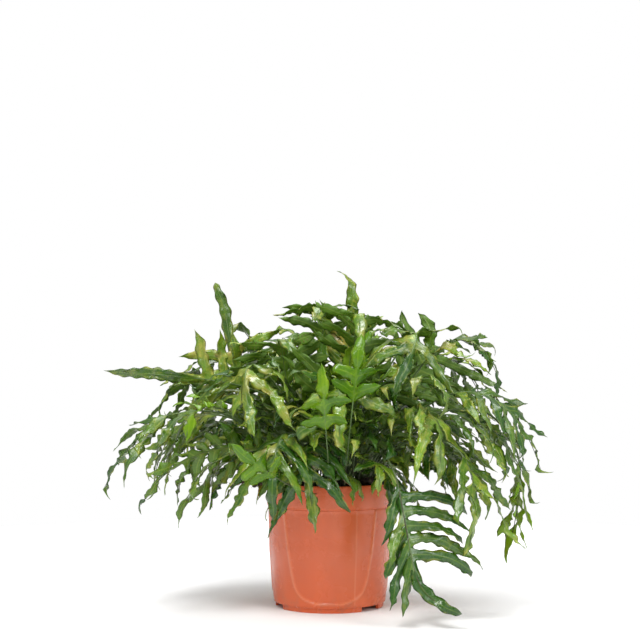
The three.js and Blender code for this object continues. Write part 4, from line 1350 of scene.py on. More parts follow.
@dataclass(frozen=True)
class SmallLeaf:
    """One kind of small leaf, in millimetres, with angles from upright in degrees.

    Its line starts at an angle of lean and ends at an angle of bow.
    """

    stipe: float
    bow: float
    pairs: int
    lobe: float
    end: float
    width: float = 13.0
    lean: float = 5.0
    young: bool = False

    STEMS = 3
    STEPS = 120
    WING = 5 * MM
    TWIST = 40
    OUTLINE = ((0.18, 0.96), (0.5, 1.0), (0.8, 0.66))

    def plan(self, draw: np.random.Generator) -> Plan:
        """Draws the leaf's lines, from the origin and bowing over towards +X.

        Args:
            draw: Source of random numbers.

        Returns:
            The plan.
        """
        half = 0.66 * self.width * MM
        stipe, end = self.stipe * MM, self.end * MM
        length = stipe + 2 * half * self.pairs + end
        share = np.linspace(0, 1, self.STEPS + 1)
        turn = np.radians(self.lean + (self.bow - self.lean) * share**1.4)
        steps = np.stack([np.sin(turn), 0 * turn, np.cos(turn)], 1) * length / self.STEPS
        line = np.cumsum(steps, axis=0) - steps[0]
        stations = 2 * self.pairs + 1
        low = stipe * np.array([0, 0.34, 0.68])
        high = length - end * np.array([0.8, 0.5, 0.2])
        at = np.concatenate([low, stipe + half * np.arange(stations), high])
        centres = np.stack([np.interp(at / length, share, line[:, k]) for k in range(3)], 1)
        angle = np.interp(at / length, share, turn)
        ahead = np.stack([np.sin(angle), 0 * angle, np.cos(angle)], 1)
        normals = np.stack([-np.cos(angle), 0 * angle, np.sin(angle)], 1)
        margins, lobes = {}, {}
        for i in range(stations):
            base, way, up = (rows[self.STEMS + i] for rows in (centres, ahead, normals))
            for hand in Hand:
                side = np.array([0.0, -1.0 if hand is Hand.RIGHT else 1.0, 0.0])
                if i % 2 == 0:
                    margins[(hand, i)] = base + self.WING * min(1.0, 0.45 + i / 3) * side
                    continue
                spread = math.radians(draw.uniform(50, 72))
                start = way * math.cos(spread) + side * math.sin(spread) + up * draw.uniform(-0.2, 0.3)
                bend = 0.15 * way + np.array([0, 0, -draw.uniform(0.1, 0.5)])
                reach = self.lobe * MM * draw.uniform(0.85, 1.1)
                lobes[(hand, i)] = self._lobe(hand, base, up, (unit(start), bend, reach), draw)
        last = self.STEMS + 2 * self.pairs
        bend = (line[-1] - centres[last]) / end - ahead[last]
        tip = self._lobe(None, centres[last], normals[last], (ahead[last], bend, end), draw)
        return Plan(centres, normals, self.STEMS, stations, margins, lobes, tip)

    def _lobe(
        self, hand: Hand | None, base: Point, normal: Point, course: tuple[Point, Point, float],
        draw: np.random.Generator,
    ) -> Lobe:
        """Draws one lobe.

        Args:
            hand: Side of the rachis, or None for the end lobe.
            base: Where the lobe starts.
            normal: Direction of the upper side there.
            course: Direction at the base, what bends it by the tip, and the length.
            draw: Source of random numbers.

        Returns:
            The lobe.
        """
        start, bend, length = course
        lobe = Lobe(hand, [base], [normal], [], [], base + length * (start + bend))
        twist = math.radians(draw.uniform(-self.TWIST, self.TWIST))
        for share, wide in self.OUTLINE:
            ahead = unit(start + 2 * share * bend)
            side = unit(np.cross(ahead, normal))
            up = np.cross(side, ahead)
            across = side * math.cos(twist * share) + up * math.sin(twist * share)
            centre = base + length * (share * start + share**2 * bend)
            lobe.centres.append(centre)
            lobe.normals.append(np.cross(across, ahead))
            lobe.right.append(centre + across * wide * self.width / 2 * MM)
            lobe.left.append(centre - across * wide * self.width / 2 * MM)
        return lobe


class Room:
    """Space round the plant as small cubes, taken by a surface or near one."""

    CELL = 1.9 * MM
    RIM = 6 * MM

    def __init__(self, low: Vector, high: Vector) -> None:
        """Makes an empty room a little smaller than a box.

        Args:
            low: Least corner of the box.
            high: Greatest corner of the box.
        """
        self.low = np.array(low) + self.RIM
        size = ((np.array(high) - self.RIM - self.low) / self.CELL).astype(int)
        self.taken = np.zeros(tuple(size), bool)
        self.near = np.zeros(tuple(size), bool)

    def _cells(self, points: Point) -> tuple[Point, Point]:
        """Cubes that hold some points, and which of the points lie in the room."""
        cells = np.floor((points - self.low) / self.CELL).astype(int)
        inside = np.all((cells > 0) & (cells < np.array(self.taken.shape) - 1), axis=1)
        return cells, inside

    def take(self, points: Point) -> None:
        """Takes the cubes of a surface, and marks those round them."""
        cells, inside = self._cells(points)
        self.taken[tuple(cells[inside].T)] = True
        for step in np.ndindex(3, 3, 3):
            self.near[tuple((cells[inside] + np.array(step) - 1).T)] = True

    def is_free(self, points: Point, apart: bool = True) -> bool:
        """Whether points lie in free cubes, and apart from what is near if asked."""
        cells, inside = self._cells(points)
        blocked = self.near if apart else self.taken
        return bool(inside.all()) and not blocked[tuple(cells.T)].any()

    def in_sight(self, points: Point) -> float:
        """Share of some points that nothing hides from the front."""
        cells, _ = self._cells(points)
        return float(np.mean([not self.taken[i, :j, k].any() for i, j, k in cells]))


@dataclass
class Model:
    """A small leaf as a mesh, and the points that stand for it when room is sought."""

    piece: bpy.types.Object
    blade: Point
    stipe: Point
    young: bool


@dataclass
class Stand:
    """Where and how one small leaf stands."""

    number: int
    place: Point
    turn: Euler
    size: float

    def of(self, points: Point) -> Point:
        """Points of the leaf's model carried to where it stands."""
        return points @ (np.array(self.turn.to_matrix()).T * self.size) + self.place


@dataclass(frozen=True)
class Spray:
    """Place, seen from the front, where a leaf is wanted, in millimetres and degrees."""

    aside: float
    height: float
    kinds: tuple[int, ...] = (17, 18, 19)
    aim: float = 90.0
    roll: float = 1.0


KINDS = (
    SmallLeaf(165, 118, 3, 50, 64),
    SmallLeaf(190, 104, 2, 52, 66),
    SmallLeaf(135, 124, 3, 46, 60),
    SmallLeaf(120, 100, 2, 46, 60),
    SmallLeaf(205, 86, 1, 48, 70),
    SmallLeaf(96, 112, 2, 42, 56),
    SmallLeaf(140, 84, 1, 44, 64),
    SmallLeaf(74, 88, 1, 40, 60),
    SmallLeaf(120, 110, 0, 0, 84, 14),
    # Three that hang over the rim.
    SmallLeaf(88, 150, 2, 44, 56),
    SmallLeaf(112, 156, 2, 46, 62),
    SmallLeaf(70, 132, 2, 40, 54),
    SmallLeaf(62, 80, 0, 0, 70, 14),
    SmallLeaf(42, 84, 1, 38, 52),
    SmallLeaf(36, 46, 0, 0, 66, 14),
    SmallLeaf(30, 96, 0, 0, 58, 13),
    SmallLeaf(56, 58, 0, 0, 52, 12, young=True),
    # Three that show their upper side to the front.
    SmallLeaf(165, -2, 2, 40, 46, 17, -68, young=True),
    SmallLeaf(138, -4, 2, 40, 46, 17, -60, young=True),
    SmallLeaf(112, -6, 1, 40, 50, 17, -56, young=True),
)
FACING_PLACES = ((-152, 236), (-128, 206), (18, 316), (0, 276), (-95, 186))
HANGING_PLACES = ((-72, 182), (-40, 168), (-10, 172), (24, 160), (58, 178))
SPRAYS = (
    *(Spray(*place) for place in FACING_PLACES),
    *(Spray(*place, (9, 10, 11), -90.0, 0.5) for place in HANGING_PLACES),
)


@dataclass
class Undergrowth:
    """Small leaves that fill the bush, planted where they touch no other leaf.

    Lengths are in millimetres. The dome has a reach, a rise and the height of its middle.
    """

    skins: LeafSkins
    axis: Vector
    spray_tries: int = 4000
    spray_gap: float = 40.0
    spray_sizes: tuple[float, float] = (0.8, 1.05)
    beyond: float = 1.25
    copies: int = 2
    wanted: int = 240
    tries: int = 220000
    luck: float = 0.4
    sizes: tuple[float, float] = (0.86, 1.16)
    foot: float = 22.0
    depth: float = 3.0
    groups: int = 6
    soil_top: float = 157.0
    bed: float = 75.0
    dome: tuple[float, float, float] = (205.0, 168.0, 215.0)
    row: float = 3.8 * MM
    stalk: float = 0.95 * MM
    rib_sides: int = 5
    seed: int = 3

    def build(self, others: list[bpy.types.Object]) -> None:
        """Plants the leaves between the other pieces.

        Args:
            others: Pieces that the leaves keep clear of.
        """
        models = bpy.data.collections.new("small_leaf_models")
        shapes = [self._model(k, kind, models) for k, kind in enumerate(KINDS * self.copies)]
        room = Room(*CAD_BOX)
        for piece in others:
            room.take(mesh_points(piece))
        found = self._find_places(room, shapes)
        log.info("%d small leaves", len(found))
        old = [stand for stand in found if not shapes[stand.number].young]
        for group in range(self.groups):
            self._plant(f"small_leaves_{group + 1}", old[group :: self.groups], models, False)
        fresh = [stand for stand in found if shapes[stand.number].young]
        self._plant("small_young_leaves", fresh, models, True)
        for shape in shapes:
            bpy.data.objects.remove(shape.piece)
        bpy.data.collections.remove(models)

    def _model(self, number: int, kind: SmallLeaf, models: bpy.types.Collection) -> Model:
        """Builds one leaf that stands at the origin.

        Args:
            number: Number of the model.
            kind: Sizes of the leaf.
            models: Collection that the leaf goes into.

        Returns:
            The leaf.
        """
        draw = np.random.default_rng(500 + number)
        habit = YOUNG_HABIT if kind.young else OLD_HABIT
        frond = Frond(kind.plan(draw), 600 + number, habit, row=self.row, stalk=self.stalk)
        frond.grow()
        name = f"small_leaf_model_{number:02d}"
        piece = new_object(name, frond.mesh(name))
        stipe = frond.ribs[0][0]
        add_ribs(piece, self.skins, kind.young, self.rib_sides)
        bpy.context.scene.collection.objects.unlink(piece)
        models.objects.link(piece)
        return Model(piece, np.array(frond.points), stipe[stipe[:, 2] > self.foot * MM], kind.young)

    def _find_places(self, room: Room, shapes: list[Model]) -> list[Stand]:
        """Tries leaf after leaf, large ones first, and keeps those that have room.

        Args:
            room: Free space, which the kept leaves take from.
            shapes: The leaf models.

        Returns:
            Where the kept leaves stand.
        """
        draw = np.random.default_rng(self.seed)
        found = self._find_sprays(room, shapes, draw)
        order = sorted(range(len(shapes)), key=lambda k: -len(shapes[k].blade))
        for trial in range(self.tries):
            if len(found) == self.wanted:
                break
            rank = (1 - self.luck) * trial / self.tries + self.luck * draw.random()
            number = order[int(rank * len(order))]
            place, around = self._root(draw)
            aim = around + draw.normal(0, 0.9)
            turn = Euler((draw.normal(0, 0.12), draw.normal(0.05, 0.2), aim))
            stand = Stand(number, place, turn, draw.uniform(*self.sizes))
            if self._fits(room, shapes[number], stand):
                self._settle(room, shapes[number], stand)
                found.append(stand)
        return found

    def _find_sprays(self, room: Room, shapes: list[Model], draw: np.random.Generator) -> list[Stand]:
        """Stands leaves in front of the bush near wanted places, where they are best seen.

        Args:
            room: Free space, which the kept leaves take from.
            shapes: The leaf models.
            draw: Source of random numbers.

        Returns:
            Where the kept leaves stand.
        """
        found = []
        for spray in SPRAYS:
            best, chosen = 0.0, None
            for _ in range(self.spray_tries):
                kind = spray.kinds[int(draw.integers(len(spray.kinds)))]
                number = kind + len(KINDS) * int(draw.integers(self.copies))
                place, _ = self._root(draw)
                aim = math.radians(spray.aim) + draw.normal(0, 0.4)
                turn = Euler((draw.uniform(-spray.roll, spray.roll), draw.normal(0, 0.2), aim))
                stand = Stand(number, place, turn, draw.uniform(*self.spray_sizes))
                middle = stand.of(shapes[number].blade.mean(axis=0)) - np.array(self.axis)
                gap = math.hypot(middle[0] - spray.aside * MM, middle[2] - spray.height * MM)
                if gap > self.spray_gap * MM or not self._fits(room, shapes[number], stand, self.beyond):
                    continue
                worth = room.in_sight(stand.of(shapes[number].blade[::9]))
                worth *= 1 - 0.67 * gap / (self.spray_gap * MM)
                if worth > best:
                    best, chosen = worth, stand
            if chosen is not None:
                self._settle(room, shapes[chosen.number], chosen)
                found.append(chosen)
        return found

    def _root(self, draw: np.random.Generator) -> tuple[Point, float]:
        """Draws a place in the soil.

        Args:
            draw: Source of random numbers.

        Returns:
            The place, and its direction from the pot's axis.
        """
        away, around = self.bed * math.sqrt(draw.random()), draw.uniform(0, 2 * math.pi)
        offset = np.array([away * math.cos(around), away * math.sin(around), self.soil_top - self.depth])
        return np.array(self.axis) + MM * offset, around

    def _fits(self, room: Room, shape: Model, stand: Stand, beyond: float = 1.0) -> bool:
        """Tells whether a leaf has room. A few of its points are tried first, to save time.

        Args:
            room: Free space.
            shape: The leaf's model.
            stand: Where the leaf would stand.
            beyond: Factor by which the dome is grown.

        Returns:
            Whether it lies in free cubes and in the dome.
        """
        if not room.is_free(stand.of(shape.blade[::15])):
            return False
        blade = stand.of(shape.blade)
        if not self._in_dome(blade, beyond) or not room.is_free(blade):
            return False
        return room.is_free(stand.of(shape.stipe), apart=False)

    def _settle(self, room: Room, shape: Model, stand: Stand) -> None:
        """Takes the space of a leaf."""
        room.take(stand.of(shape.blade))
        room.take(stand.of(shape.stipe))

    def _in_dome(self, points: Point, beyond: float) -> bool:
        """Whether points lie inside the dome that the fronds' tips stand out of."""
        reach, rise, middle = (MM * value for value in self.dome)
        away = (points - np.array(self.axis) - [0, 0, middle]) / [reach, reach, rise]
        return bool((np.sum(away**2, axis=1) < beyond**2).all())

    def _plant(self, name: str, rows: list[Stand], models: bpy.types.Collection, young: bool) -> None:
        """Places a group of leaves as one piece.

        Args:
            name: Name of the piece.
            rows: Where the leaves stand.
            models: The leaf models.
            young: Whether the leaves are fresh and bright.
        """
        mesh = bpy.data.meshes.new(name)
        mesh.from_pydata([tuple(row.place) for row in rows], [], [])
        mesh.attributes.new("model", "INT", "POINT").data.foreach_set("value", [row.number for row in rows])
        turns = np.array([tuple(row.turn) for row in rows], np.float32).ravel()
        mesh.attributes.new("turn", "FLOAT_VECTOR", "POINT").data.foreach_set("vector", turns)
        store(mesh, "size", [row.size for row in rows])
        piece = new_object(name, mesh)
        tree = GeometryTree("small_leaf_stand")
        leaves = tree.given("Leaf Models", "Collection", models)
        skin = tree.given("Blade Material", "Material", self.skins.blade(young))
        stalk = tree.given("Stalk Material", "Material", self.skins.stalk)
        chosen = {"Collection": leaves, "Separate Children": True, "Reset Children": True}
        turned = {0: tree.stored("turn", "FLOAT_VECTOR")}
        spin = tree.add("FunctionNodeEulerToRotation", turned).outputs[0]
        whole = tree.placed(
            tree.start.outputs["Geometry"],
            Instance=tree.add("CollectionInfo", chosen).outputs[0],
            Pick_Instance=True,
            Instance_Index=tree.stored("model", "INT"),
            Rotation=spin,
            Scale=tree.stored("size", "FLOAT"),
        )
        real = tree.add("RealizeInstances", {0: whole}).outputs[0]
        is_stalk = tree.add("MaterialSelection", {"Material": stalk}).outputs[0]
        is_blade = tree.add("FunctionNodeBooleanMath", {0: is_stalk}, operation="NOT").outputs[0]
        tree.run(piece, tree.painted(tree.painted(real, skin, is_blade), stalk, is_stalk))
        shade_smooth(piece.data)
        declare(piece, [])


# ---- Pot ------------------------------------------------------------------------------------


@dataclass
class Pot:
    """Nursery container: a tapering wall with a collar, U-shaped panels and a parted foot ring.

    Lengths are in millimetres, and angles run in degrees from the front towards +X.
    """

    axis: Vector
    sides: int = 480
    row: float = 2.0
    plain_below: float = 7.0
    plain_above: float = 134.0
    panel_step: float = 0.7
    panel_brim: float = 0.9
    panel_turn: float = 120.0
    panel_foot: float = 13.0
    panel_height: float = 140.0
    panel_half: float = 35.0
    panel_round: float = 9.0
    panel_spread: float = 12.0
    brim_at: float = 1.9
    brim_width: float = 1.7
    wall_radius: float = 80.0
    seam_at: float = 25.0
    seam_step: float = 0.22
    seam_width: float = 0.9
    foot_gap: float = 27.0
    foot_gaps_at: tuple[float, ...] = (48.5, 168.5, -71.5)
    foot_reach: tuple[float, float] = (60.0, 80.0)
    drain_radius: float = 4.5
    drain_circle: float = 44.0
    drain_depth: float = 8.0
    drain_holes: int = 6
    outer: tuple[tuple[float, float], ...] = (
        (69.3, 0.6), (69.9, 0.0), (72.4, 0.0), (73.0, 0.5), (73.3, 4.5), (73.9, 6.2),
        (75.0, 6.5), (75.6, 7.4), (76.3, 12.0), (79.1, 45.0), (82.3, 79.0), (84.0, 133.6),
        (83.7, 134.2), (83.8, 135.0), (84.8, 135.8), (85.0, 136.6), (85.3, 163.2),
        (85.25, 164.9), (84.9, 165.7), (84.2, 166.0), (83.6, 165.6), (83.3, 164.6),
    )
    inner: tuple[tuple[float, float], ...] = (
        (82.4, 143.0), (82.2, 138.0), (79.2, 79.0), (73.6, 12.0), (73.1, 10.2), (72.0, 9.6),
    )
    floor_rings: tuple[float, ...] = (20.0, 46.0)
    floor: float = 9.5
    underside: float = 7.0

    def build(self) -> bpy.types.Object:
        """Builds, cuts and dresses the pot.

        Returns:
            The finished piece.
        """
        piece = new_object("pot_shell", self._lathe())
        cutters = [self._foot_cutter(at) for at in self.foot_gaps_at]
        cutters += [self._drain_cutter(k) for k in range(self.drain_holes)]
        for cutter in cutters:
            self._cut(piece, cutter)
        piece.data.materials.clear()
        piece.data.materials.append(PlasticFinish().material())
        shade_smooth(piece.data, math.radians(32))
        declare(piece, ["pot"])
        return piece

    def _lathe(self) -> bpy.types.Mesh:
        """Turns the wall, floor and foot as one closed skin.

        Returns:
            The mesh, with the share of brim at each point.
        """
        profile = self._profile()
        turn = np.linspace(0, 2 * math.pi, self.sides, endpoint=False)
        points, brims = [], []
        for radius, height, outside in profile:
            swell, brim = self._swell(turn, height) if outside else (0.0, np.zeros(self.sides))
            reach = radius + swell
            ring = (reach * np.sin(turn), -reach * np.cos(turn), np.full(self.sides, height))
            points.append(np.stack(ring, 1))
            brims.append(brim)
        points.append(np.array([[0, 0, self.underside], [0, 0, self.floor]]))
        cloud = np.concatenate(points) * MM + np.array(self.axis)
        mesh = bpy.data.meshes.new("pot_shell")
        mesh.from_pydata([tuple(p) for p in cloud], [], turned_faces(len(profile), self.sides))
        store(mesh, "brim", np.concatenate([*brims, np.zeros(2)]))
        return mesh

    def _profile(self) -> list[tuple[float, float, bool]]:
        """Lists the rings from the middle of the underside round to the middle of the floor.

        Returns:
            Radius, height and whether the outer wall's relief applies, ring by ring.
        """
        rows = [(radius, self.underside, False) for radius in (*self.floor_rings, self.outer[0][0] - 0.5)]
        for (r0, z0), (r1, z1) in zip(self.outer, self.outer[1:]):
            wall = self.plain_below - 0.4 < z0 < self.plain_above - 1
            parts = max(1, round((z1 - z0) / self.row)) if wall else 1
            for k in range(parts):
                share = k / parts
                height = z0 + (z1 - z0) * share
                outside = self.plain_below < z0 < self.plain_above
                rows.append((r0 + (r1 - r0) * share, height, outside))
        rows += [(*edge, False) for edge in (self.outer[-1], *self.inner)]
        return rows + [(radius, self.floor, False) for radius in reversed(self.floor_rings)]

    def _swell(self, turn: Point, height: float) -> tuple[Point, Point]:
        """Relief of the outer wall: recessed U panels with a raised brim, and the mould seam.

        Args:
            turn: Angles round the pot.
            height: Height over the ground in millimetres.

        Returns:
            How far the wall swells, and how much of each place is brim or seam.
        """
        degrees = np.degrees(turn)
        nearest = np.abs((degrees + self.panel_turn / 2) % self.panel_turn - self.panel_turn / 2)
        # Half width of a panel in degrees, level by level above its foot.
        levels = np.linspace(0, self.panel_height, 400)
        wide = self.panel_half * np.sqrt(1 - np.exp(-levels / self.panel_round)) + levels / self.panel_spread
        level = height - self.panel_foot
        aside = (np.interp(level, levels, wide, left=-40) - nearest) * math.radians(self.wall_radius)
        above = level - np.interp(nearest, wide, levels, right=1000)
        # Distance inside the U's edge, negative outside it.
        inside = np.sign(aside) * np.abs(aside * above) / np.hypot(aside, above)
        relief = -self.panel_step * smooth(inside, -0.8, 0.8)
        brim = np.exp(-(((inside + self.brim_at) / self.brim_width) ** 2))
        relief += self.panel_brim * brim
        away = (degrees - self.seam_at + 90) % 180 - 90
        seam = self.seam_step * np.exp(-((away * math.radians(1) * self.wall_radius / self.seam_width) ** 2))
        fade = smooth(height, 8.0, 12.0) * smooth(height, 133.5, 130.0)
        return (relief + seam) * fade, np.maximum(brim, seam / self.seam_step) * fade

    def _foot_cutter(self, at: float) -> bmesh.types.BMesh:
        """Makes the wedge that parts the foot ring.

        Args:
            at: Angle of its middle.

        Returns:
            The wedge.
        """
        shape = bmesh.new()
        half = self.foot_gap / 2
        near, far = self.foot_reach
        ring = [(near, -half), (far, -half), (far, half), (near, half)]
        rows = []
        for height in (-3.0, self.underside - 0.5):
            rows.append([])
            for radius, turn in ring:
                a = math.radians(at) + math.radians(turn)
                place = Vector((radius * math.sin(a), -radius * math.cos(a), height)) * MM
                rows[-1].append(shape.verts.new(place + self.axis))
        shape.faces.new(rows[0][::-1])
        shape.faces.new(rows[1])
        for k in range(4):
            n = (k + 1) % 4
            shape.faces.new((rows[0][k], rows[0][n], rows[1][n], rows[1][k]))
        bmesh.ops.recalc_face_normals(shape, faces=shape.faces)
        return shape

    def _drain_cutter(self, number: int) -> bmesh.types.BMesh:
        """Makes the cylinder that cuts one hole through the floor.

        Args:
            number: Number of the hole.

        Returns:
            The cylinder.
        """
        shape = bmesh.new()
        a = 2 * math.pi * number / self.drain_holes
        reach = self.drain_circle
        centre = Vector((reach * math.sin(a), -reach * math.cos(a), self.drain_depth)) * MM
        radius = self.drain_radius * MM
        bmesh.ops.create_cone(
            shape, cap_ends=True, segments=24, radius1=radius, radius2=radius,
            depth=self.drain_depth * MM, matrix=Matrix.Translation(centre + self.axis),
        )
        return shape

    @staticmethod
    def _cut(piece: bpy.types.Object, shape: bmesh.types.BMesh) -> None:
        """Cuts a shape out of a piece.

        Args:
            piece: The piece.
            shape: The shape, which is used up.
        """
        mesh = bpy.data.meshes.new("cutter")
        shape.to_mesh(mesh)
        shape.free()
        cutter = new_object("cutter", mesh)
        modifier = piece.modifiers.new("cut", "BOOLEAN")
        modifier.operation, modifier.object, modifier.solver = "DIFFERENCE", cutter, "EXACT"
        bake(piece)
        bpy.data.objects.remove(cutter)
        bpy.data.meshes.remove(mesh)


# ---- Soil and rhizomes ----------------------------------------------------------------------


@dataclass
class Bed:
    """Damp peat that fills the pot, crumbly on top. Lengths are in millimetres."""

    axis: Vector
    bottom: float = 9.8
    wall: tuple[tuple[float, float], ...] = ((72.8, 9.8), (78.8, 79.3), (81.7, 140.3), (82.6, 155.0))
    top: float = 157.0
    top_radius: float = 82.2
    sunk: float = 0.7
    sides: int = 96
    rings: int = 26
    bottom_rings: int = 5
    density: float = 60000.0
    seed: int = 11

    def build(self, material: bpy.types.Material) -> bpy.types.Object:
        """Builds the peat and strews it with crumbs.

        Args:
            material: The peat's material.

        Returns:
            The finished piece.
        """
        foot = self.wall[0][0]
        rows = [(r * foot / self.bottom_rings, self.bottom) for r in range(1, self.bottom_rings)]
        rows += self.wall
        rows += [(self.top_radius * (1 - k / self.rings), self.top) for k in range(self.rings)]
        turn = np.linspace(0, 2 * math.pi, self.sides, endpoint=False)
        points = []
        for radius, height in rows:
            for a in turn:
                place = Vector((radius * math.sin(a), -radius * math.cos(a), height))
                if height == self.top:
                    place.z += self._lump(place) - self.sunk
                points.append(place * MM + self.axis)
        points += [Vector((0, 0, height)) * MM + self.axis for height in (self.bottom, self.top)]
        mesh = bpy.data.meshes.new("peat")
        mesh.from_pydata([tuple(p) for p in points], [], turned_faces(len(rows), self.sides))
        piece = new_object("peat_bed", mesh)
        self._strew(piece, material)
        shade_smooth(piece.data, math.radians(50))
        declare(piece, ["soil"])
        return piece

    def _lump(self, place: Vector) -> float:
        """Height of the lumpy surface in millimetres."""
        return 0.9 * noise.noise(place * 0.09) + 0.5 * noise.noise(place * 0.31)

    def _strew(self, piece: bpy.types.Object, material: bpy.types.Material) -> None:
        """Scatters crumbs over the top.

        Args:
            piece: The peat.
            material: The peat's material.
        """
        tree = GeometryTree("peat_crumbs")
        density = tree.given("Crumbs Per Square Metre", "Float", self.density)
        seed = tree.given("Seed", "Int", self.seed)
        skin = tree.given("Peat Material", "Material", material)
        ground = tree.start.outputs["Geometry"]
        facing = tree.add("ShaderNodeSeparateXYZ", {0: tree.add("InputNormal").outputs[0]}).outputs[2]
        strewn = {"Mesh": ground, "Selection": tree.above(facing, 0.6), "Density": density, "Seed": seed}
        crumbs = tree.placed(
            tree.add("DistributePointsOnFaces", strewn).outputs["Points"],
            Instance=tree.add("MeshIcoSphere", {"Radius": 1.0 * MM, "Subdivisions": 1}).outputs[0],
            Rotation=tree.random((0.0, 0.0, 0.0), (6.3, 6.3, 6.3), seed),
            Scale=tree.random((0.4, 0.4, 0.3), (2.1, 1.5, 1.2), seed),
        )
        tree.run(piece, tree.dressed(tree.join(ground, crumbs), skin))


@dataclass
class Rhizomes:
    """Creeping stems covered in papery scales. Lengths are in metres."""

    nodes: dict[str, bpy.types.Object]
    density: float = 190000.0
    roughness: float = 1.6 * MM
    lump_scale: float = 180.0
    scale_length: float = 3.4 * MM
    scale_foot: float = 0.75 * MM
    scale_tip: float = 0.1 * MM
    seed: int = 30

    def build(self, material: bpy.types.Material) -> list[bpy.types.Object]:
        """Builds each rhizome.

        Args:
            material: Material of stem and scales.

        Returns:
            The finished rhizomes.
        """
        pieces = []
        for number, name in enumerate(sorted(n for n in self.nodes if n.startswith("rhizome"))):
            shape = welded(self.nodes[name])
            mesh = bpy.data.meshes.new(name)
            shape.to_mesh(mesh)
            shape.free()
            piece = new_object(name + "_stem", mesh)
            self._cover(piece, material, self.seed + number)
            shade_smooth(piece.data, math.radians(60))
            declare(piece, [name])
            pieces.append(piece)
        return pieces

    def _cover(self, piece: bpy.types.Object, material: bpy.types.Material, number: int) -> None:
        """Roughens the stem and covers it with scales.

        Args:
            piece: The plain stem.
            material: Material of stem and scales.
            number: Seed of the scales.
        """
        tree = GeometryTree("rhizome_cover")
        density = tree.given("Scales Per Square Metre", "Float", self.density)
        seed = tree.given("Seed", "Int", number)
        skin = tree.given("Skin Material", "Material", material)
        whole = tree.start.outputs["Geometry"]
        fine = tree.add("SubdivideMesh", {"Mesh": whole, "Level": 2}).outputs[0]
        bumps = tree.add("ShaderNodeTexNoise", {"Scale": self.lump_scale}).outputs[0]
        level = {0: bumps, 1: self.roughness, 2: -self.roughness / 2}
        lift = tree.add("ShaderNodeMath", level, operation="MULTIPLY_ADD").outputs[0]
        outward = {0: tree.add("InputNormal").outputs[0], "Scale": lift}
        offset = tree.add("ShaderNodeVectorMath", outward, operation="SCALE").outputs[0]
        rough = tree.add("SetPosition", {"Geometry": fine, "Offset": offset}).outputs[0]
        spots = tree.add("DistributePointsOnFaces", {"Mesh": whole, "Density": density, "Seed": seed})
        flake = {"Vertices": 4, "Radius Top": self.scale_tip, "Radius Bottom": self.scale_foot}
        lean = tree.random((1.15, -0.2, 0.0), (1.5, 0.2, 6.3), seed)
        leaning = {0: spots.outputs["Rotation"], 1: lean}
        scales = tree.placed(
            spots.outputs["Points"],
            Instance=tree.add("MeshCone", {**flake, "Depth": self.scale_length}).outputs["Mesh"],
            Rotation=tree.add("FunctionNodeRotateRotation", leaning, rotation_space="LOCAL").outputs[0],
            Scale=tree.random((0.7, 0.35, 0.6), (1.3, 0.6, 1.3), seed),
        )
        tree.run(piece, tree.dressed(tree.join(rough, scales), skin))


# ---- Surroundings ---------------------------------------------------------------------------


@dataclass(frozen=True)
class Lamp:
    """A large soft lamp, in metres and watts."""

    name: str
    place: tuple[float, float, float]
    size: float
    power: float


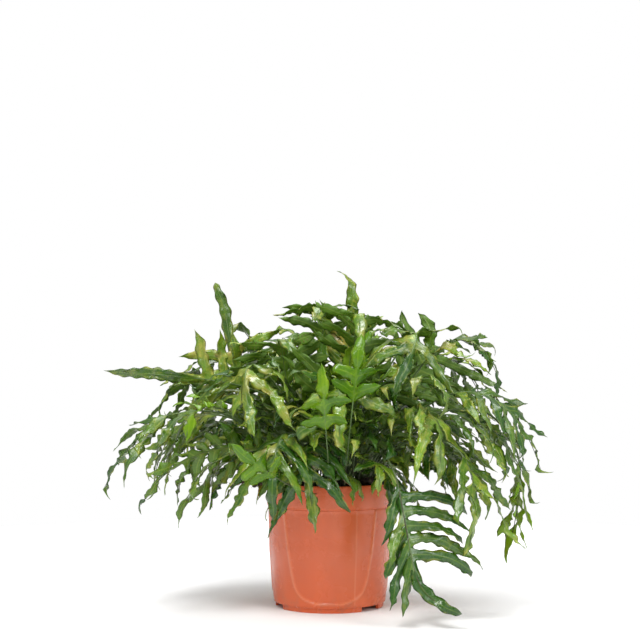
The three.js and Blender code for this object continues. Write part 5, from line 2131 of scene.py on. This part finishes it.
@dataclass
class Studio:
    """Pale floor, soft light and the camera, in metres and degrees."""

    axis: Vector
    distance: float = 1.8
    aside: float = -0.013
    height: float = 0.3
    tilt: float = 2.76
    sensor: float = 36.0
    focal_pixels: float = 1313
    picture_pixels: float = 640
    sky: float = 0.54
    backdrop: float = 1.0
    floor_radius: float = 1.15
    lit: tuple[float, float, float] = (0.0, 0.0, 0.25)
    lamps: tuple[Lamp, ...] = (
        Lamp("key", (-0.7, -1.4, 2.0), 0.7, 44.0),
        Lamp("fill", (1.5, -1.4, 1.2), 1.1, 25.0),
        Lamp("top", (0.1, 0.5, 2.3), 1.4, 36.0),
    )

    def build(self) -> None:
        """Sets up floor, sky, lamps and camera."""
        self._floor()
        self._sky()
        for lamp in self.lamps:
            self._hang(lamp)
        camera = bpy.data.objects.new("camera", bpy.data.cameras.new("camera"))
        bpy.context.scene.collection.objects.link(camera)
        camera.data.sensor_width = self.sensor
        camera.data.lens = self.sensor * self.focal_pixels / self.picture_pixels
        camera.location = self.axis + Vector((self.aside, -self.distance, self.height))
        camera.rotation_euler = (math.radians(90 + self.tilt), 0, 0)
        bpy.context.scene.camera = camera
        bpy.context.scene.view_settings.view_transform = "Standard"

    def _floor(self) -> None:
        """Lays a wide pale floor."""
        shape = bmesh.new()
        bmesh.ops.create_circle(shape, cap_ends=True, segments=96, radius=self.floor_radius)
        mesh = bpy.data.meshes.new("floor")
        shape.to_mesh(mesh)
        shape.free()
        floor = new_object("floor", mesh)
        tree = ShaderTree("pale_floor", 0.7)
        mottle = tree.band(tree.noise(3.0, 2.0), 0.3, 0.7)
        pale = tree.mix(mottle, (0.88, 0.88, 0.88), (0.92, 0.92, 0.92))
        floor.data.materials.append(tree.finish(Base_Color=pale))

    def _sky(self) -> None:
        """Lights the scene evenly from all sides, before a white backdrop."""
        world = bpy.data.worlds.new("studio")
        bpy.context.scene.world = world
        world.use_nodes = True
        tree = NodeTree(world.node_tree)
        seen = tree.add("LightPath").outputs["Is Camera Ray"]
        share = tree.add("MapRange", {"Value": seen, "To Min": self.sky, "To Max": self.backdrop})
        light = world.node_tree.nodes["Background"]
        tree.put(light.inputs["Color"], (1.0, 1.0, 1.0))
        tree.put(light.inputs["Strength"], share.outputs["Result"])

    def _hang(self, lamp: Lamp) -> None:
        """Hangs a lamp and aims it at the plant.

        Args:
            lamp: The lamp.
        """
        data = bpy.data.lights.new(lamp.name, "AREA")
        data.energy, data.size = lamp.power, lamp.size
        hung = bpy.data.objects.new(lamp.name, data)
        bpy.context.scene.collection.objects.link(hung)
        hung.location = lamp.place
        hung.rotation_euler = (Vector(self.lit) - hung.location).to_track_quat("-Z", "Y").to_euler()


def main() -> None:
    """Builds the whole plant, then its surroundings."""
    logging.basicConfig(level=logging.INFO, format="%(name)s: %(message)s")
    nodes = frame["nodes"]
    axis = axis_of("pot")
    others = [Pot(axis).build(), Bed(axis_of("soil")).build(PEAT.material())]
    others += Rhizomes(nodes).build(BARK.material())
    skins = LeafSkins(MATURE.material(), FRESH.material(), STALK.material())
    others += Foliage(nodes, skins).build()
    Undergrowth(skins, axis).build(others)
    Studio(axis).build()
    bpy.context.view_layer.update()


if __name__ == "__main__":
    main()
